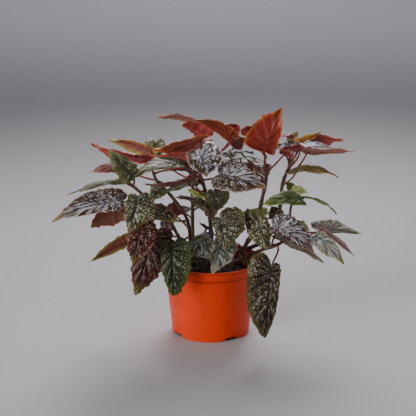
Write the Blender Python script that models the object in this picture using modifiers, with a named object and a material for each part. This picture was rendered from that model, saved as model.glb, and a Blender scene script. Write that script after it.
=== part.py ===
"""A potted angel wing begonia: a thin nursery pot, the potting mix in it, seven canes and their leaves.

All the dimensions below are in millimetres, and MM turns them into the metres that the scene is built in.
The pot stands on Z = 0 with its axis on Z, and -Y is the front of the plant.
"""

import math

import bmesh
import bpy
from mathutils import Vector

MM = 0.001
GAP = 0.3  # clearance between pieces that touch
OBJECT_NAME = "potted_begonia"

# Pot: a turned, thin-walled shape with a band under its lip and four drain slots in its foot
POT_HEIGHT = 100.0
LIP_RADIUS = 65.0
LIP_THICKNESS = 2.0
BAND_HEIGHT = 13.0
BAND_STEP = 1.6
BAND_RADIUS = 63.4
FOOT_RADIUS = 51.0
FOOT_WIDTH = 3.5
FOOT_HEIGHT = 1.6
FLOOR_THICKNESS = 1.6
WALL = 1.2
POT_SIDES = 40
NOTCH_ANGLES = (-58.0, 32.0, 122.0, 212.0)  # degrees round from the front, 90 apart
NOTCH_WIDTH = 28.0
SLOT_WIDTH = 17.0
SLOT_HEIGHT = 4.6
SLOT_DEPTH = 14.0

# Potting mix
SOIL_TOP = 89.0
SOIL_EDGE = 85.0
CANE_FOOT = 60.0  # the canes stand this far above the floor, in sockets in the mix

# Canes: name, radius at the foot, radius at the top, and the points that the middle line runs through
CANES = (
    ("cane_centre", 3.4, 2.0,
     ((2, 10, 98), (0, 10, 136), (-2, 8, 169), (-6, 5, 184), (-11, 0, 204), (-16, -5, 221),
      (-22, -8, 232))),
    ("cane_right", 3.2, 2.0,
     ((40, 15, 98), (47, 18, 112), (56, 14, 133), (64, 8, 164), (68, 5, 184), (72, 7, 205), (74, 12, 224))),
    ("cane_far_right", 3.0, 1.9,
     ((36, 30, 98), (60, 26, 108), (78, 21, 124), (88, 16, 147), (91, 13, 170), (94, 14, 198),
      (107, 14, 230))),
    ("cane_low_right", 2.8, 1.6,
     ((30, -14, 98), (50, -18, 109), (71, -21, 119), (92, -20, 128), (101, -8, 145), (104, 4, 166),
      (110, 9, 182))),
    ("cane_left_back", 2.6, 1.8,
     ((-24, 22, 98), (-24, 24, 140), (-24, 26, 180), (-21, 34, 208), (-12, 44, 234))),
    ("cane_left", 2.6, 1.6,
     ((-28, 0, 98), (-28, 0, 140), (-38, 0, 166), (-55, 0, 188), (-70, -3, 206), (-78, -6, 232))),
    ("cane_left_outer", 2.4, 1.6,
     ((-38, -14, 98), (-40, -15, 128), (-58, -24, 164), (-80, -36, 190), (-102, -46, 214))),
)

# Leaves: name, finish, where the stalk meets the blade, tip, width, which way the upper face looks,
# (arch of the midrib, rise of the halves, share of the width that the larger half has more, basal lobe),
# cane, and the height at which the stalk leaves it. The arch is in millimetres, and a plus sign in the
# third of the four numbers puts the larger half on the right of a blade seen from above with its tip up.
# A fifth number below 1 keeps the blade broad towards its tip, and one above 1 narrows it sooner.
LEAVES = (
    ("leaf_crown_1", "young_leaf", (-22, 92, 262), (-71, 106, 264), 28,
     (0, 0.5, 0.85), (3, 0.1, -0.2, 0.15), "cane_left_back", 226),
    ("leaf_crown_2", "young_leaf", (-10, 62, 251), (-40, 50, 269), 32,
     (0, 0.65, 0.75), (2, 0.1, -0.3, 0.2), "cane_left_back", 230),
    ("leaf_crown_3", "young_leaf", (28, 35, 251.5), (-21, 22, 283), 23,
     (0.15, 0.8, 0.6), (3, 0.1, -0.28, 0.05), "cane_left_back", 222),
    ("leaf_crown_4", "young_leaf", (31, 92, 248), (27, 87, 261), 22,
     (0, 0.9, 0.35), (2, 0.1, 0.1, 0.2), "cane_left_back", 214),
    ("leaf_crown_5", "young_leaf", (52, 88, 246), (52, 84, 258), 21,
     (0, 0.9, 0.35), (2, 0.1, 0.1, 0.2), "cane_left_back", 222),
    ("leaf_crown_6", "young_leaf", (70, 28, 237), (93, 46, 291), 42,
     (-0.1, 0.95, -0.3), (3, 0.1, 0.35, 0.04), "cane_right", 219),
    ("leaf_crown_7", "bronze_leaf", (33, 52, 234), (46, 66, 246), 24,
     (0, 0.9, 0.1), (2, 0.1, 0.3, 0.1), "cane_right", 208),
    ("leaf_inner_1", "olive_leaf", (24, 22, 234), (56, 44, 230), 34,
     (0, 0.15, 1), (3, 0.1, 0.3, 0.25), "cane_right", 200),
    ("leaf_inner_2", "bronze_leaf", (72, 46, 227), (52, 60, 237), 24,
     (0, 0.6, 0.8), (2, 0.1, -0.3, 0.15), "cane_right", 204),
    ("leaf_inner_3", "olive_leaf", (38, 2, 234), (70, -20, 232), 28,
     (0, 0.1, 1), (3, 0.1, 0.3, 0.2), "cane_right", 194),
    ("leaf_right_1", "young_leaf", (124, 74, 239), (176, 64, 242), 36,
     (0, 0.65, 0.75), (4, 0.1, -0.3, 0.2), "cane_far_right", 224),
    ("leaf_right_2", "young_leaf", (115, 14, 253), (143, 5, 270), 17,
     (0, 0.5, 0.8), (-2, 0.2, 0.3, 0.1), "cane_far_right", 228),
    ("leaf_right_3", "silver_leaf", (98, 34, 243), (159, 28, 243), 28,
     (0, -0.1, 1), (3, 0.1, 0.1, 0.2), "cane_far_right", 222),
    ("leaf_right_4", "bronze_leaf", (113, -10, 249.5), (87, -21, 250.5), 22,
     (0, 0.6, 0.85), (2, 0.1, 0.1, 0.12), "cane_far_right", 218),
    ("leaf_right_5", "bronze_leaf", (124, 6, 240), (186, 4, 246), 22,
     (0, 0.5, 0.85), (-3, 0.1, 0.45, 0.12), "cane_far_right", 212),
    ("leaf_right_6", "young_leaf", (92, -34, 248), (108, -46, 246.5), 20,
     (0, 0.65, 0.75), (2, 0.1, 0.3, 0.1), "cane_right", 214),
    ("leaf_right_7", "olive_leaf", (112, -10, 222), (161, -34, 217), 20,
     (-0.15, -0.2, 1), (6, 0.1, 0.0, 0.25, 1.5), "cane_far_right", 196),
    ("leaf_right_8", "green_leaf", (110, 50, 175), (130, 52, 174), 17,
     (0, 0.9, 0.4), (1, 0.1, 0.25, 0.15), "cane_far_right", 172),
    ("leaf_right_9", "green_leaf", (117, -14, 183), (66, -34, 181), 33,
     (0, -0.3, 0.95), (5, 0.1, 0.15, 0.05), "cane_low_right", 172),
    ("leaf_right_10", "green_leaf", (122, 12, 178), (164, -8, 162), 15,
     (0, 0.1, 1), (5, 0.2, 0.3, 0.2), "cane_low_right", 178),
    ("leaf_right_11", "olive_leaf", (145, 10, 135), (199, 6, 130), 19,
     (0, -0.6, 0.7), (2, 0.1, -0.6, 0.15, 1.4), "cane_low_right", 134),
    ("leaf_right_12", "bronze_leaf", (145, -10, 139), (186, -30, 110), 15,
     (0.4, 0.6, 0.6), (2, 0.15, 0.3, 0.1), "cane_low_right", 140),
    ("leaf_right_13", "silver_leaf", (82, -60, 161), (129, -82, 134), 34,
     (0.2, -0.65, 0.7), (4, 0.1, -0.31, 0.15), "cane_far_right", 152),
    ("leaf_right_14", "olive_leaf", (84, -37, 143), (142, -64, 114), 24,
     (0.1, 0.7, 0.65), (3, 0.1, -0.1, 0.05), "cane_low_right", 122),
    ("leaf_right_15", "silver_leaf", (131, -56, 147), (167, -80, 117), 30,
     (0.4, -0.6, 0.7), (4, 0.1, 0.1, 0.04), "cane_low_right", 136),
    ("leaf_front_1", "olive_leaf", (61, -48, 160), (72, -58, 129), 30,
     (0, -0.95, 0.3), (3, 0.1, 0.15, 0.6), "cane_right", 150),
    ("leaf_front_2", "olive_leaf", (11, -50, 168), (20, -63, 131), 40,
     (0, -0.95, 0.3), (4, 0.1, -0.52, 0.2), "cane_centre", 150),
    ("leaf_front_3", "green_leaf", (4, -14, 192), (8, -18, 167), 30,
     (0, -0.95, 0.3), (2, 0.1, -0.3, 0.3), "cane_centre", 176),
    ("leaf_front_4", "silver_leaf", (13, -60, 229), (68, -86, 220), 37,
     (0, -0.85, 0.5), (4, 0.1, 0.05, 0.15), "cane_centre", 206),
    ("leaf_front_5", "silver_leaf", (-12, -58, 251), (-5, -74, 231), 44,
     (0, -0.7, 0.65), (3, 0.1, -0.2, 0.8), "cane_centre", 222),
    ("leaf_front_6", "young_leaf", (-14, -16, 261), (-73, -40, 256), 40,
     (0, 0.7, 0.7), (-2, 0.1, 0.3, 0.25), "cane_centre", 230),
    ("leaf_front_7", "bronze_leaf", (-22, -22, 242), (-67, -38, 246), 32,
     (0, 0.65, 0.75), (2, 0.1, 0.3, 0.15), "cane_centre", 208),
    ("leaf_front_8", "silver_leaf", (-36, -56, 240), (-95, -88, 235), 34,
     (0, -0.15, 1), (5, 0.1, 0.45, 0.15), "cane_centre", 218),
    ("leaf_front_9", "olive_leaf", (-3, -38, 139), (-36, -47, 124), 34,
     (-0.1, -0.85, 0.5), (3, 0.1, -0.45, 0.1), "cane_centre", 134),
    ("leaf_front_10", "silver_leaf", (15, -47, 137), (1, -73, 102), 30,
     (0, -0.95, 0.5), (3, 0.1, -0.3, 0.1), "cane_centre", 130),
    ("leaf_front_11", "bronze_leaf", (75, -84, 113), (68, -100, 26), 41,
     (0, -0.95, 0.3), (5, 0.05, 0.4, 0.15, 0.65), "cane_low_right", 124),
    ("leaf_front_12", "green_leaf", (-49, -70, 138), (-47, -84, 77), 37,
     (0, -0.95, 0.3), (3, 0.1, -0.25, 0.12, 0.6), "cane_left_outer", 122),
    ("leaf_left_1", "green_leaf", (-97, -62, 229), (-128, -54, 260), 25,
     (-0.3, -0.85, 0.4), (4, 0.1, -0.13, 0.1), "cane_left_outer", 210),
    ("leaf_left_2", "young_leaf", (-79, 32, 236), (-132, 24, 254), 30,
     (0, 0.7, 0.7), (2, 0.1, 0.3, 0.2), "cane_left", 222),
    ("leaf_left_3", "young_leaf", (-84, -10, 237), (-150, -36, 262), 30,
     (0, 0.6, 0.8), (-4, 0.1, 0.3, 0.2), "cane_left", 228),
    ("leaf_left_4", "silver_leaf", (-74, 56, 240), (-74, 48, 220), 28,
     (0, -0.9, 0.4), (2, 0.1, 0.0, 0.35), "cane_left_back", 206),
    ("leaf_left_5", "green_leaf", (-108, -34, 212), (-178, -56, 200), 20,
     (0, -0.05, 1), (5, 0.1, 0.1, 0.05), "cane_left_outer", 206),
    ("leaf_left_6", "bronze_leaf", (-32, -26, 212), (-83, -46, 211), 18,
     (0, 0.6, 0.8), (-2, 0.1, 0.3, 0.15), "cane_centre", 190),
    ("leaf_left_7", "silver_leaf", (-117, -74, 198), (-196, -92, 180), 34,
     (-0.1, -0.65, 0.75), (6, 0.1, 0.28, 0.14), "cane_left_outer", 198),
    ("leaf_left_8", "bronze_leaf", (-115, -50, 186), (-152, -58, 160), 36,
     (0.2, 0.85, 0.45), (4, 0.1, 0.3, 0.05), "cane_left_outer", 176),
    ("leaf_left_9", "olive_leaf", (-90, -94, 205), (-100, -106, 167), 33,
     (0.1, -0.9, 0.45), (3, 0.1, -0.25, 0.25), "cane_left_outer", 188),
    ("leaf_left_10", "olive_leaf", (-72, -60, 186), (-40, -78, 174), 24,
     (0, -0.65, 0.7), (3, 0.1, 0.3, 0.2), "cane_left_outer", 176),
    ("leaf_left_11", "bronze_leaf", (-87, -82, 167), (-97, -93, 122), 34,
     (0, -0.95, 0.25), (4, 0.1, -0.2, 0.2), "cane_left_outer", 168),
    ("leaf_left_12", "bronze_leaf", (-72, -56, 148), (-96, -74, 74), 43,
     (0, -0.95, 0.25), (4, 0.1, -0.16, 0.15, 0.8), "cane_left_outer", 146),
    ("leaf_left_13", "bronze_leaf", (-108, 0, 124), (-156, -16, 99), 20,
     (0.2, 0.85, 0.45), (2, 0.15, -0.08, 0.2), "cane_left_outer", 134),
    ("leaf_left_14", "bronze_leaf", (-49, 30, 150), (-50, 46, 164), 26,
     (0, 0.9, 0.1), (2, 0.3, 0.0, 0.1), "cane_left", 140),
)

# Blade: rows run from the notch at the base to the tip, and columns from one margin to the other
BLADE_THICKNESS = 0.8
BLADE_ROWS = (0.0, 0.15, 0.31, 0.48, 0.65, 0.83)
BLADE_COLUMNS = (-1.0, -0.5, 0.0, 0.5, 1.0)
STALK_RADIUS = 1.25
STALK_STEPS = (0.28, 0.6, 0.86, 1.0)
WIDEST_ROW = 0.375
VEIN_SWEEP = 2.2  # how far the side veins run forward before they reach the margin
# One half's margin from the notch round to the tip: across as a share of the half's width, along as a
# share of the blade's length, and back as a share of the basal lobe
MARGIN = (
    (0.05, 0.0, 0.5), (0.35, 0.0, 1.0), (0.8, 0.0, 0.75), (1.0, 0.06, 0.0), (1.0, 0.28, 0.0),
    (0.87, 0.51, 0.0), (0.6, 0.73, 0.0), (0.26, 0.9, 0.0), (0.0, 1.0, 0.0),
)

# Colour and roughness of each finish
FINISHES = {
    "orange_plastic": ((0.62, 0.09, 0.02), 0.45),
    "potting_mix": ((0.02, 0.014, 0.01), 0.95),
    "cane_bark": ((0.09, 0.05, 0.025), 0.6),
    "young_leaf": ((0.42, 0.06, 0.02), 0.45),
    "silver_leaf": ((0.30, 0.33, 0.30), 0.35),
    "bronze_leaf": ((0.12, 0.04, 0.02), 0.4),
    "olive_leaf": ((0.12, 0.12, 0.07), 0.4),
    "green_leaf": ((0.10, 0.20, 0.04), 0.4),
}


def clear_scene():
    for thing in list(bpy.data.objects):
        bpy.data.objects.remove(thing, do_unlink=True)


def new_collection(name, shown):
    collection = bpy.data.collections.new(name)
    collection.hide_render = not shown
    bpy.context.scene.collection.children.link(collection)
    return collection


def finish_material(name):
    colour, roughness = FINISHES[name]
    material = bpy.data.materials.get(name) or bpy.data.materials.new(name)
    material.use_nodes = True
    shader = material.node_tree.nodes["Principled BSDF"]
    shader.inputs["Base Color"].default_value = (*colour, 1.0)
    shader.inputs["Roughness"].default_value = roughness
    shader.inputs["Metallic"].default_value = 0.0
    return material


def add_object(name, data, collection, finish=None):
    thing = bpy.data.objects.new(name, data)
    collection.objects.link(thing)
    if finish:
        data.materials.append(finish_material(finish))
    return thing


def shade_round(mesh):
    mesh.shade_smooth()
    mesh.set_sharp_from_angle(angle=math.radians(35))


def turned(name, profile, collection, finish):
    """A profile of (radius, height) points turned about Z. It runs down its outer side."""
    mesh = bpy.data.meshes.new(name)
    points = [(radius * MM, 0.0, height * MM) for radius, height in profile]
    mesh.from_pydata(points, [(i, i + 1) for i in range(len(points) - 1)], [])
    thing = add_object(name, mesh, collection, finish)
    screw = thing.modifiers.new("turn", "SCREW")
    screw.steps = screw.render_steps = POT_SIDES
    screw.use_merge_vertices = True
    screw.merge_threshold = 0.0001
    screw.use_smooth_shade = True
    return thing


def cut(target, cutter, name):
    cutter.hide_render = True
    cutter.display_type = "WIRE"
    boolean = target.modifiers.new(name, "BOOLEAN")
    boolean.operation = "DIFFERENCE"
    boolean.object = cutter


def box_cutter(name, size, centre, turn, cutters):
    """A box of this size, its centre out from the axis, turned round the axis by this many degrees."""
    mesh = bpy.data.meshes.new(name)
    box = bmesh.new()
    bmesh.ops.create_cube(box, size=1.0)
    bmesh.ops.scale(box, vec=[side * MM for side in size], verts=box.verts)
    bmesh.ops.translate(box, vec=[at * MM for at in centre], verts=box.verts)
    box.to_mesh(mesh)
    box.free()
    cutter = add_object(name, mesh, cutters)
    cutter.rotation_euler.z = math.radians(turn)
    return cutter


def inner_radius(height):
    """The pot's inner wall below the band."""
    low, high = FOOT_RADIUS - WALL, LIP_RADIUS - 6.1
    return low + (high - low) * height / (POT_HEIGHT - BAND_HEIGHT)


def make_pot(collection, cutters):
    shoulder = POT_HEIGHT - BAND_HEIGHT
    floor = FOOT_HEIGHT + FLOOR_THICKNESS
    outer = inner_radius(shoulder) + WALL
    profile = (
        (0, floor),
        (inner_radius(floor), floor),
        (inner_radius(shoulder - 1), shoulder - 1),
        (BAND_RADIUS - 1.0 - WALL, shoulder + 1),
        (BAND_RADIUS - WALL, POT_HEIGHT - 1.4),
        (LIP_RADIUS - 1.9, POT_HEIGHT),
        (LIP_RADIUS - 0.6, POT_HEIGHT),
        (LIP_RADIUS, POT_HEIGHT - 0.6),
        (LIP_RADIUS, POT_HEIGHT - LIP_THICKNESS),
        (BAND_RADIUS, POT_HEIGHT - LIP_THICKNESS - 0.6),
        (BAND_RADIUS - 1.0, shoulder + 0.4),
        (outer, shoulder - 0.2),
        (FOOT_RADIUS, 0.8),
        (FOOT_RADIUS - 0.5, 0),
        (FOOT_RADIUS - FOOT_WIDTH, 0),
        (FOOT_RADIUS - FOOT_WIDTH - 0.5, FOOT_HEIGHT),
        (0, FOOT_HEIGHT),
    )
    pot = turned("pot", profile, collection, "orange_plastic")
    for number, angle in enumerate(NOTCH_ANGLES, 1):
        foot_cut = box_cutter(
            f"foot_cutter_{number}",
            (NOTCH_WIDTH, 2 * FOOT_WIDTH + 4, 2 * FOOT_HEIGHT - 0.2),
            (0, -FOOT_RADIUS, 0),
            angle,
            cutters,
        )
        slot_cut = box_cutter(
            f"slot_cutter_{number}",
            (SLOT_WIDTH, SLOT_DEPTH, 2 * SLOT_HEIGHT),
            (0, -FOOT_RADIUS, 0),
            angle,
            cutters,
        )
        cut(pot, foot_cut, f"foot_gap_{number}")
        cut(pot, slot_cut, f"drain_slot_{number}")
    return pot


def make_soil(collection, cutters):
    floor = FOOT_HEIGHT + FLOOR_THICKNESS + GAP
    profile = (
        (0, SOIL_TOP),
        (30, SOIL_TOP - 0.8),
        (50, SOIL_TOP - 2.4),
        (inner_radius(SOIL_EDGE) - GAP, SOIL_EDGE),
        (inner_radius(floor) - GAP, floor),
        (0, floor),
    )
    soil = turned("soil", profile, collection, "potting_mix")
    for name, foot, _, points in CANES:
        x, y, _ = points[0]
        depth = SOIL_TOP + 4 - (CANE_FOOT - GAP)
        mesh = bpy.data.meshes.new(f"{name}_socket")
        socket = bmesh.new()
        bmesh.ops.create_cone(
            socket,
            cap_ends=True,
            segments=12,
            radius1=(foot + 1.5 * GAP) * MM,
            radius2=(foot + 1.5 * GAP) * MM,
            depth=depth * MM,
        )
        socket.to_mesh(mesh)
        socket.free()
        cutter = add_object(f"{name}_socket_cutter", mesh, cutters)
        cutter.location = (x * MM, y * MM, (CANE_FOOT - GAP + depth / 2) * MM)
        cut(soil, cutter, f"{name}_socket")
    return soil


def spline_point(points, at):
    """A point on the smooth curve through these points, with at from 0 to 1."""
    place = at * (len(points) - 1)
    i = min(int(place), len(points) - 2)
    t = place - i
    before = points[max(i - 1, 0)]
    start, end = points[i], points[i + 1]
    after = points[min(i + 2, len(points) - 1)]
    return tuple(
        0.5 * (2 * b + (c - a) * t + (2 * a - 5 * b + 4 * c - d) * t**2 + (3 * b - a - 3 * c + d) * t**3)
        for a, b, c, d in zip(before, start, end, after)
    )


def cane_line(points):
    """The middle line of a cane: straight up out of the mix, then on through its points."""
    x, y, _ = points[0]
    steps = 2 * (len(points) - 1)
    above = [Vector(spline_point(points, i / steps)) for i in range(steps + 1)]
    return [Vector((x, y, CANE_FOOT)), Vector((x, y, SOIL_TOP + 3))] + above


def cane_radius(cane, share):
    _, foot, top, _ = cane
    return foot + (top - foot) * share


def make_cane(cane, collection):
    name, foot, _, points = cane
    line = cane_line(points)
    curve = bpy.data.curves.new(name, "CURVE")
    curve.dimensions = "3D"
    curve.bevel_depth = foot * MM
    curve.bevel_resolution = 2
    curve.use_fill_caps = True
    spline = curve.splines.new("POLY")
    spline.points.add(len(line) - 1)
    for i, place in enumerate(line):
        spline.points[i].co = (*(place * MM), 1.0)
        spline.points[i].radius = cane_radius(cane, i / (len(line) - 1)) / foot
    return add_object(name, curve, collection, "cane_bark")


def cane_seat(name, height, towards):
    """Where a stalk meets a cane at this height: the place on its surface, and the way out of it."""
    cane = next(c for c in CANES if c[0] == name)
    line = cane_line(cane[3])
    for i, (low, high) in enumerate(zip(line, line[1:])):
        if low.z <= height <= high.z:
            t = (height - low.z) / (high.z - low.z)
            centre = low.lerp(high, t)
            up = (high - low).normalized()
            out = towards - centre
            out = (out - out.dot(up) * up).normalized()
            radius = cane_radius(cane, (i + t) / (len(line) - 1))
            return centre + out * (radius + GAP), out, up
    raise ValueError(f"{name} has no point at a height of {height}")


class Blade:
    """A leaf blade as a surface: point(column, row) runs over it, in millimetres."""

    def __init__(self, junction, tip, width, face, form):
        self.arch, self.rise, self.lean, self.lobe, *taper = form
        self.taper = taper[0] if taper else 1.0
        self.junction = Vector(junction)
        self.length = (Vector(tip) - self.junction).length
        self.along = (Vector(tip) - self.junction).normalized()
        face = Vector(face)
        self.out = (face - face.dot(self.along) * self.along).normalized()
        self.across = self.along.cross(self.out)
        self.width = width

    def half(self, side):
        """The width and the basal lobe of the half on this side."""
        share = 1 + side * self.lean
        return self.width / 2 * share, self.lobe * self.length * max(share, 0.4)

    def flat(self, column, row):
        """(across, along) on the blade laid flat."""
        first = BLADE_ROWS[1]
        stalk = min(2 * STALK_RADIUS, 0.12 * self.length)
        rib = row / first * stalk
        if row > first:
            rib = stalk + (self.length - stalk) * ((row - first) / (1 - first)) ** VEIN_SWEEP
        side = math.copysign(1.0, column)
        width, lobe = self.half(side)
        across, along, back = spline_point(MARGIN, row)
        if row > WIDEST_ROW:
            across **= self.taper
        edge = side * across * width
        end = along * self.length - back * lobe
        near = min(STALK_RADIUS, 0.3 * abs(edge)) if row > first else STALK_RADIUS
        share = abs(column)
        if share == 0.0:
            return 0.0, rib
        start = side * near
        return start + (edge - start) * share, rib + (end - rib) * share

    def point(self, x, y):
        """The place of a point of the flat blade once it is arched and its halves are raised."""
        t = y / self.length
        arch = 4 * self.arch * (t * (1 - t) if t > 0 else t)
        height = arch + self.rise * abs(x)
        return self.junction + self.across * x + self.along * y + self.out * height

    def normal(self, x, y):
        step = 0.5
        sideways = self.point(x + step, y) - self.point(x - step, y)
        onwards = self.point(x, y + step) - self.point(x, y - step)
        return sideways.cross(onwards).normalized()


def blade_columns():
    """The columns, with one on each side of the midrib where the stalk joins."""
    left = [c for c in BLADE_COLUMNS if c < 0]
    right = [c for c in BLADE_COLUMNS if c > 0]
    middle = [(-1.0, True), (0.0, False), (1.0, True)]
    return [(c, False) for c in left] + middle + [(c, False) for c in right]


def blade_grid(blade):
    """Rows of (x, y) over the flat blade, without the tip."""
    rows = []
    for row in BLADE_ROWS:
        places = []
        for column, beside_rib in blade_columns():
            if beside_rib:
                _, rib = blade.flat(0.0, row)
                edge = blade.flat(column, row)[0]
                near = STALK_RADIUS if row <= BLADE_ROWS[1] else min(STALK_RADIUS, 0.3 * abs(edge))
                places.append((math.copysign(near, column), rib))
            else:
                places.append(blade.flat(column, row))
        rows.append(places)
    return rows


def cell_triangles(i, j, left):
    """A cell of the grid as two triangles of (column, row), split alike on both faces of the blade."""
    near, far = (i, j), (i + 1, j)
    far_on, near_on = (i + 1, j + 1), (i, j + 1)
    if left:
        return (near, far, near_on), (far, far_on, near_on)
    return (near, far, far_on), (near, far_on, near_on)


def stalk_path(start, blade, seat, out, up):
    """The leaf stalk's middle line: down out of the blade, across, and into the side of the cane."""
    reach = (seat - start).length
    onward = (seat - start).normalized()
    leave = onward * 0.5 - blade.out * 0.8 - blade.along * 0.3
    leave -= blade.out * max(0.0, leave.dot(blade.out) + 0.4)
    first = start + leave.normalized() * 0.3 * reach
    last = seat + (out * 0.9 + up * 0.35).normalized() * 0.3 * reach

    def place(t):
        s = 1 - t
        return s**3 * start + 3 * s * s * t * first + 3 * s * t * t * last + t**3 * seat

    return place


def stalk_rings(corners, blade, seat, out, up):
    """Rings of points along the stalk, each turned on from the last, the first made to follow corners."""
    start = sum(corners, Vector()) / len(corners)
    place = stalk_path(start, blade, seat, out, up)
    rings = []
    side = corners[0] - start
    for t in STALK_STEPS:
        centre = place(t)
        heading = -out if t == 1.0 else (place(min(t + 0.02, 1.0)) - place(t - 0.02)).normalized()
        side = (side - side.dot(heading) * heading).normalized()
        other = side.cross(heading)
        turns = [math.tau * k / len(corners) for k in range(len(corners))]
        rings.append([centre + STALK_RADIUS * (math.cos(a) * side + math.sin(a) * other) for a in turns])
    return rings


def make_leaf(row, collection):
    """A blade and its stalk as one closed skin."""
    name, finish, junction, tip, width, face, form, cane, height = row
    blade = Blade(junction, tip, width, face, form)
    grid = blade_grid(blade)
    mesh = bmesh.new()

    def sheet(offset):
        made = []
        for places in grid:
            line = []
            for x, y in places:
                line.append(mesh.verts.new(blade.point(x, y) + blade.normal(x, y) * offset))
            made.append(line)
        end = mesh.verts.new(blade.point(0, blade.length) + blade.out * offset)
        return made, end

    upper, upper_tip = sheet(BLADE_THICKNESS / 2)
    lower, lower_tip = sheet(-BLADE_THICKNESS / 2)
    last = len(grid[0]) - 1
    middle = last // 2
    stalk_cells = {(0, middle - 1), (0, middle)}
    for j in range(len(grid) - 1):
        for i in range(last):
            for corners in cell_triangles(i, j, i < middle):
                mesh.faces.new([upper[b][a] for a, b in corners])
                if (j, i) not in stalk_cells:
                    mesh.faces.new([lower[b][a] for a, b in reversed(corners)])
    for i in range(last):
        mesh.faces.new((upper[-1][i], upper[-1][i + 1], upper_tip))
        mesh.faces.new((lower[-1][i + 1], lower[-1][i], lower_tip))
        mesh.faces.new((lower[0][i], lower[0][i + 1], upper[0][i + 1], upper[0][i]))
    for i, turn in ((0, 1), (last, -1)):
        top = [line[i] for line in upper] + [upper_tip]
        bottom = [line[i] for line in lower] + [lower_tip]
        for j in range(len(top) - 1):
            corners = (bottom[j], top[j], top[j + 1], bottom[j + 1])
            mesh.faces.new(corners[::turn])
    ring = [lower[0][middle + k] for k in (-1, 0, 1)] + [lower[1][middle + k] for k in (1, 0, -1)]
    seat, out, up = cane_seat(cane, height, blade.junction)
    for points in stalk_rings([v.co.copy() for v in ring], blade, seat, out, up):
        after = [mesh.verts.new(p) for p in points]
        for k in range(len(ring)):
            n = (k + 1) % len(ring)
            mesh.faces.new((ring[k], after[k], after[n], ring[n]))
        ring = after
    mesh.faces.new(ring)
    bmesh.ops.scale(mesh, vec=(MM, MM, MM), verts=mesh.verts)
    bmesh.ops.recalc_face_normals(mesh, faces=mesh.faces)
    data = bpy.data.meshes.new(name)
    mesh.to_mesh(data)
    mesh.free()
    shade_round(data)
    return add_object(name, data, collection, finish)


def main():
    clear_scene()
    parts = new_collection(OBJECT_NAME, True)
    cutters = new_collection("cutters", False)
    make_pot(parts, cutters)
    make_soil(parts, cutters)
    for cane in CANES:
        make_cane(cane, parts)
    for row in LEAVES:
        make_leaf(row, parts)


main()
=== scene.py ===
"""A potted angel wing begonia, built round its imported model: the pot, the mix, seven canes and every leaf.

Sizes in the tables are in millimetres, and MM turns them into metres. The pot's axis is Z, and -Y is the
front of the plant. Each piece is shaped where it stands, so its object stays at the origin.
"""

import math
import random
from functools import partial
from typing import NamedTuple

import bpy
import numpy as np
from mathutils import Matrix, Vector, noise


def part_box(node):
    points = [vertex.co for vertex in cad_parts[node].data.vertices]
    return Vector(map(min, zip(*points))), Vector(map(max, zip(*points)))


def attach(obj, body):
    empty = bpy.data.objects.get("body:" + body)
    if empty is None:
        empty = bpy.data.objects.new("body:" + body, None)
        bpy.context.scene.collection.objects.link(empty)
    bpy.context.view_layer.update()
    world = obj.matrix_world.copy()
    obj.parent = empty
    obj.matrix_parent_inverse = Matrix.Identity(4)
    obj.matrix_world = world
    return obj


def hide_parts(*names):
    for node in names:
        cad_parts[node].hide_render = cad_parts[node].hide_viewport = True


bl_info = {
    "name": "Potted Angel Wing Begonia",
    "version": (1, 0, 0),
    "blender": (4, 5, 0),
    "location": "View3D > Sidebar > Begonia",
    "description": "Builds an angel wing begonia in its nursery pot, leaf by leaf",
    "category": "Add Mesh",
}

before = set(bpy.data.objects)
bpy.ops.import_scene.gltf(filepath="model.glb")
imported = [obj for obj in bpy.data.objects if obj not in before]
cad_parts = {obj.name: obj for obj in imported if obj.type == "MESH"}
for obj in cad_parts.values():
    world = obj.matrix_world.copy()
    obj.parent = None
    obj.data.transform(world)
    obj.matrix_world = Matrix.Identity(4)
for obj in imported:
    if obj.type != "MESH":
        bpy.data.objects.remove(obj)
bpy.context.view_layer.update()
POT_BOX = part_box("pot")

MM = 0.001

# Heights of a cane's foot in the mix, and of the top of the mix on the axis and at the pot's wall
CANE_FOOT = 60.0
SOIL_TOP = 89.0
SOIL_EDGE = 85.0
MIX_REACH = 57.5  # radius within which the top of the mix has lumps
GAP = 0.3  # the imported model's room between a cane and the end of a stalk


class Cane(NamedTuple):
    name: str
    foot: float  # radius at the foot
    top: float  # radius at the top
    points: tuple  # that the middle line runs through


CANES = [Cane(*row) for row in (
    ("cane_centre", 3.4, 2.0, (
        (2, 10, 98), (0, 10, 136), (-2, 8, 169), (-6, 5, 184), (-11, 0, 204), (-16, -5, 221),
        (-22, -8, 232),
    )),
    ("cane_right", 3.2, 2.0, (
        (40, 15, 98), (47, 18, 112), (56, 14, 133), (64, 8, 164), (68, 5, 184), (72, 7, 205),
        (74, 12, 224),
    )),
    ("cane_far_right", 3.0, 1.9, (
        (36, 30, 98), (60, 26, 108), (78, 21, 124), (88, 16, 147), (91, 13, 170), (94, 14, 198),
        (107, 14, 230),
    )),
    ("cane_low_right", 2.8, 1.6, (
        (30, -14, 98), (50, -18, 109), (71, -21, 119), (92, -20, 128), (101, -8, 145), (104, 4, 166),
        (110, 9, 182),
    )),
    ("cane_left_back", 2.6, 1.8, (
        (-24, 22, 98), (-24, 24, 140), (-24, 26, 180), (-21, 34, 208), (-12, 44, 234),
    )),
    ("cane_left", 2.6, 1.6, (
        (-28, 0, 98), (-28, 0, 140), (-38, 0, 166), (-55, 0, 188), (-70, -3, 206), (-78, -6, 232),
    )),
    ("cane_left_outer", 2.4, 1.6, (
        (-38, -14, 98), (-40, -15, 128), (-58, -24, 164), (-80, -36, 190), (-102, -46, 214),
    )),
)]


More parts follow.
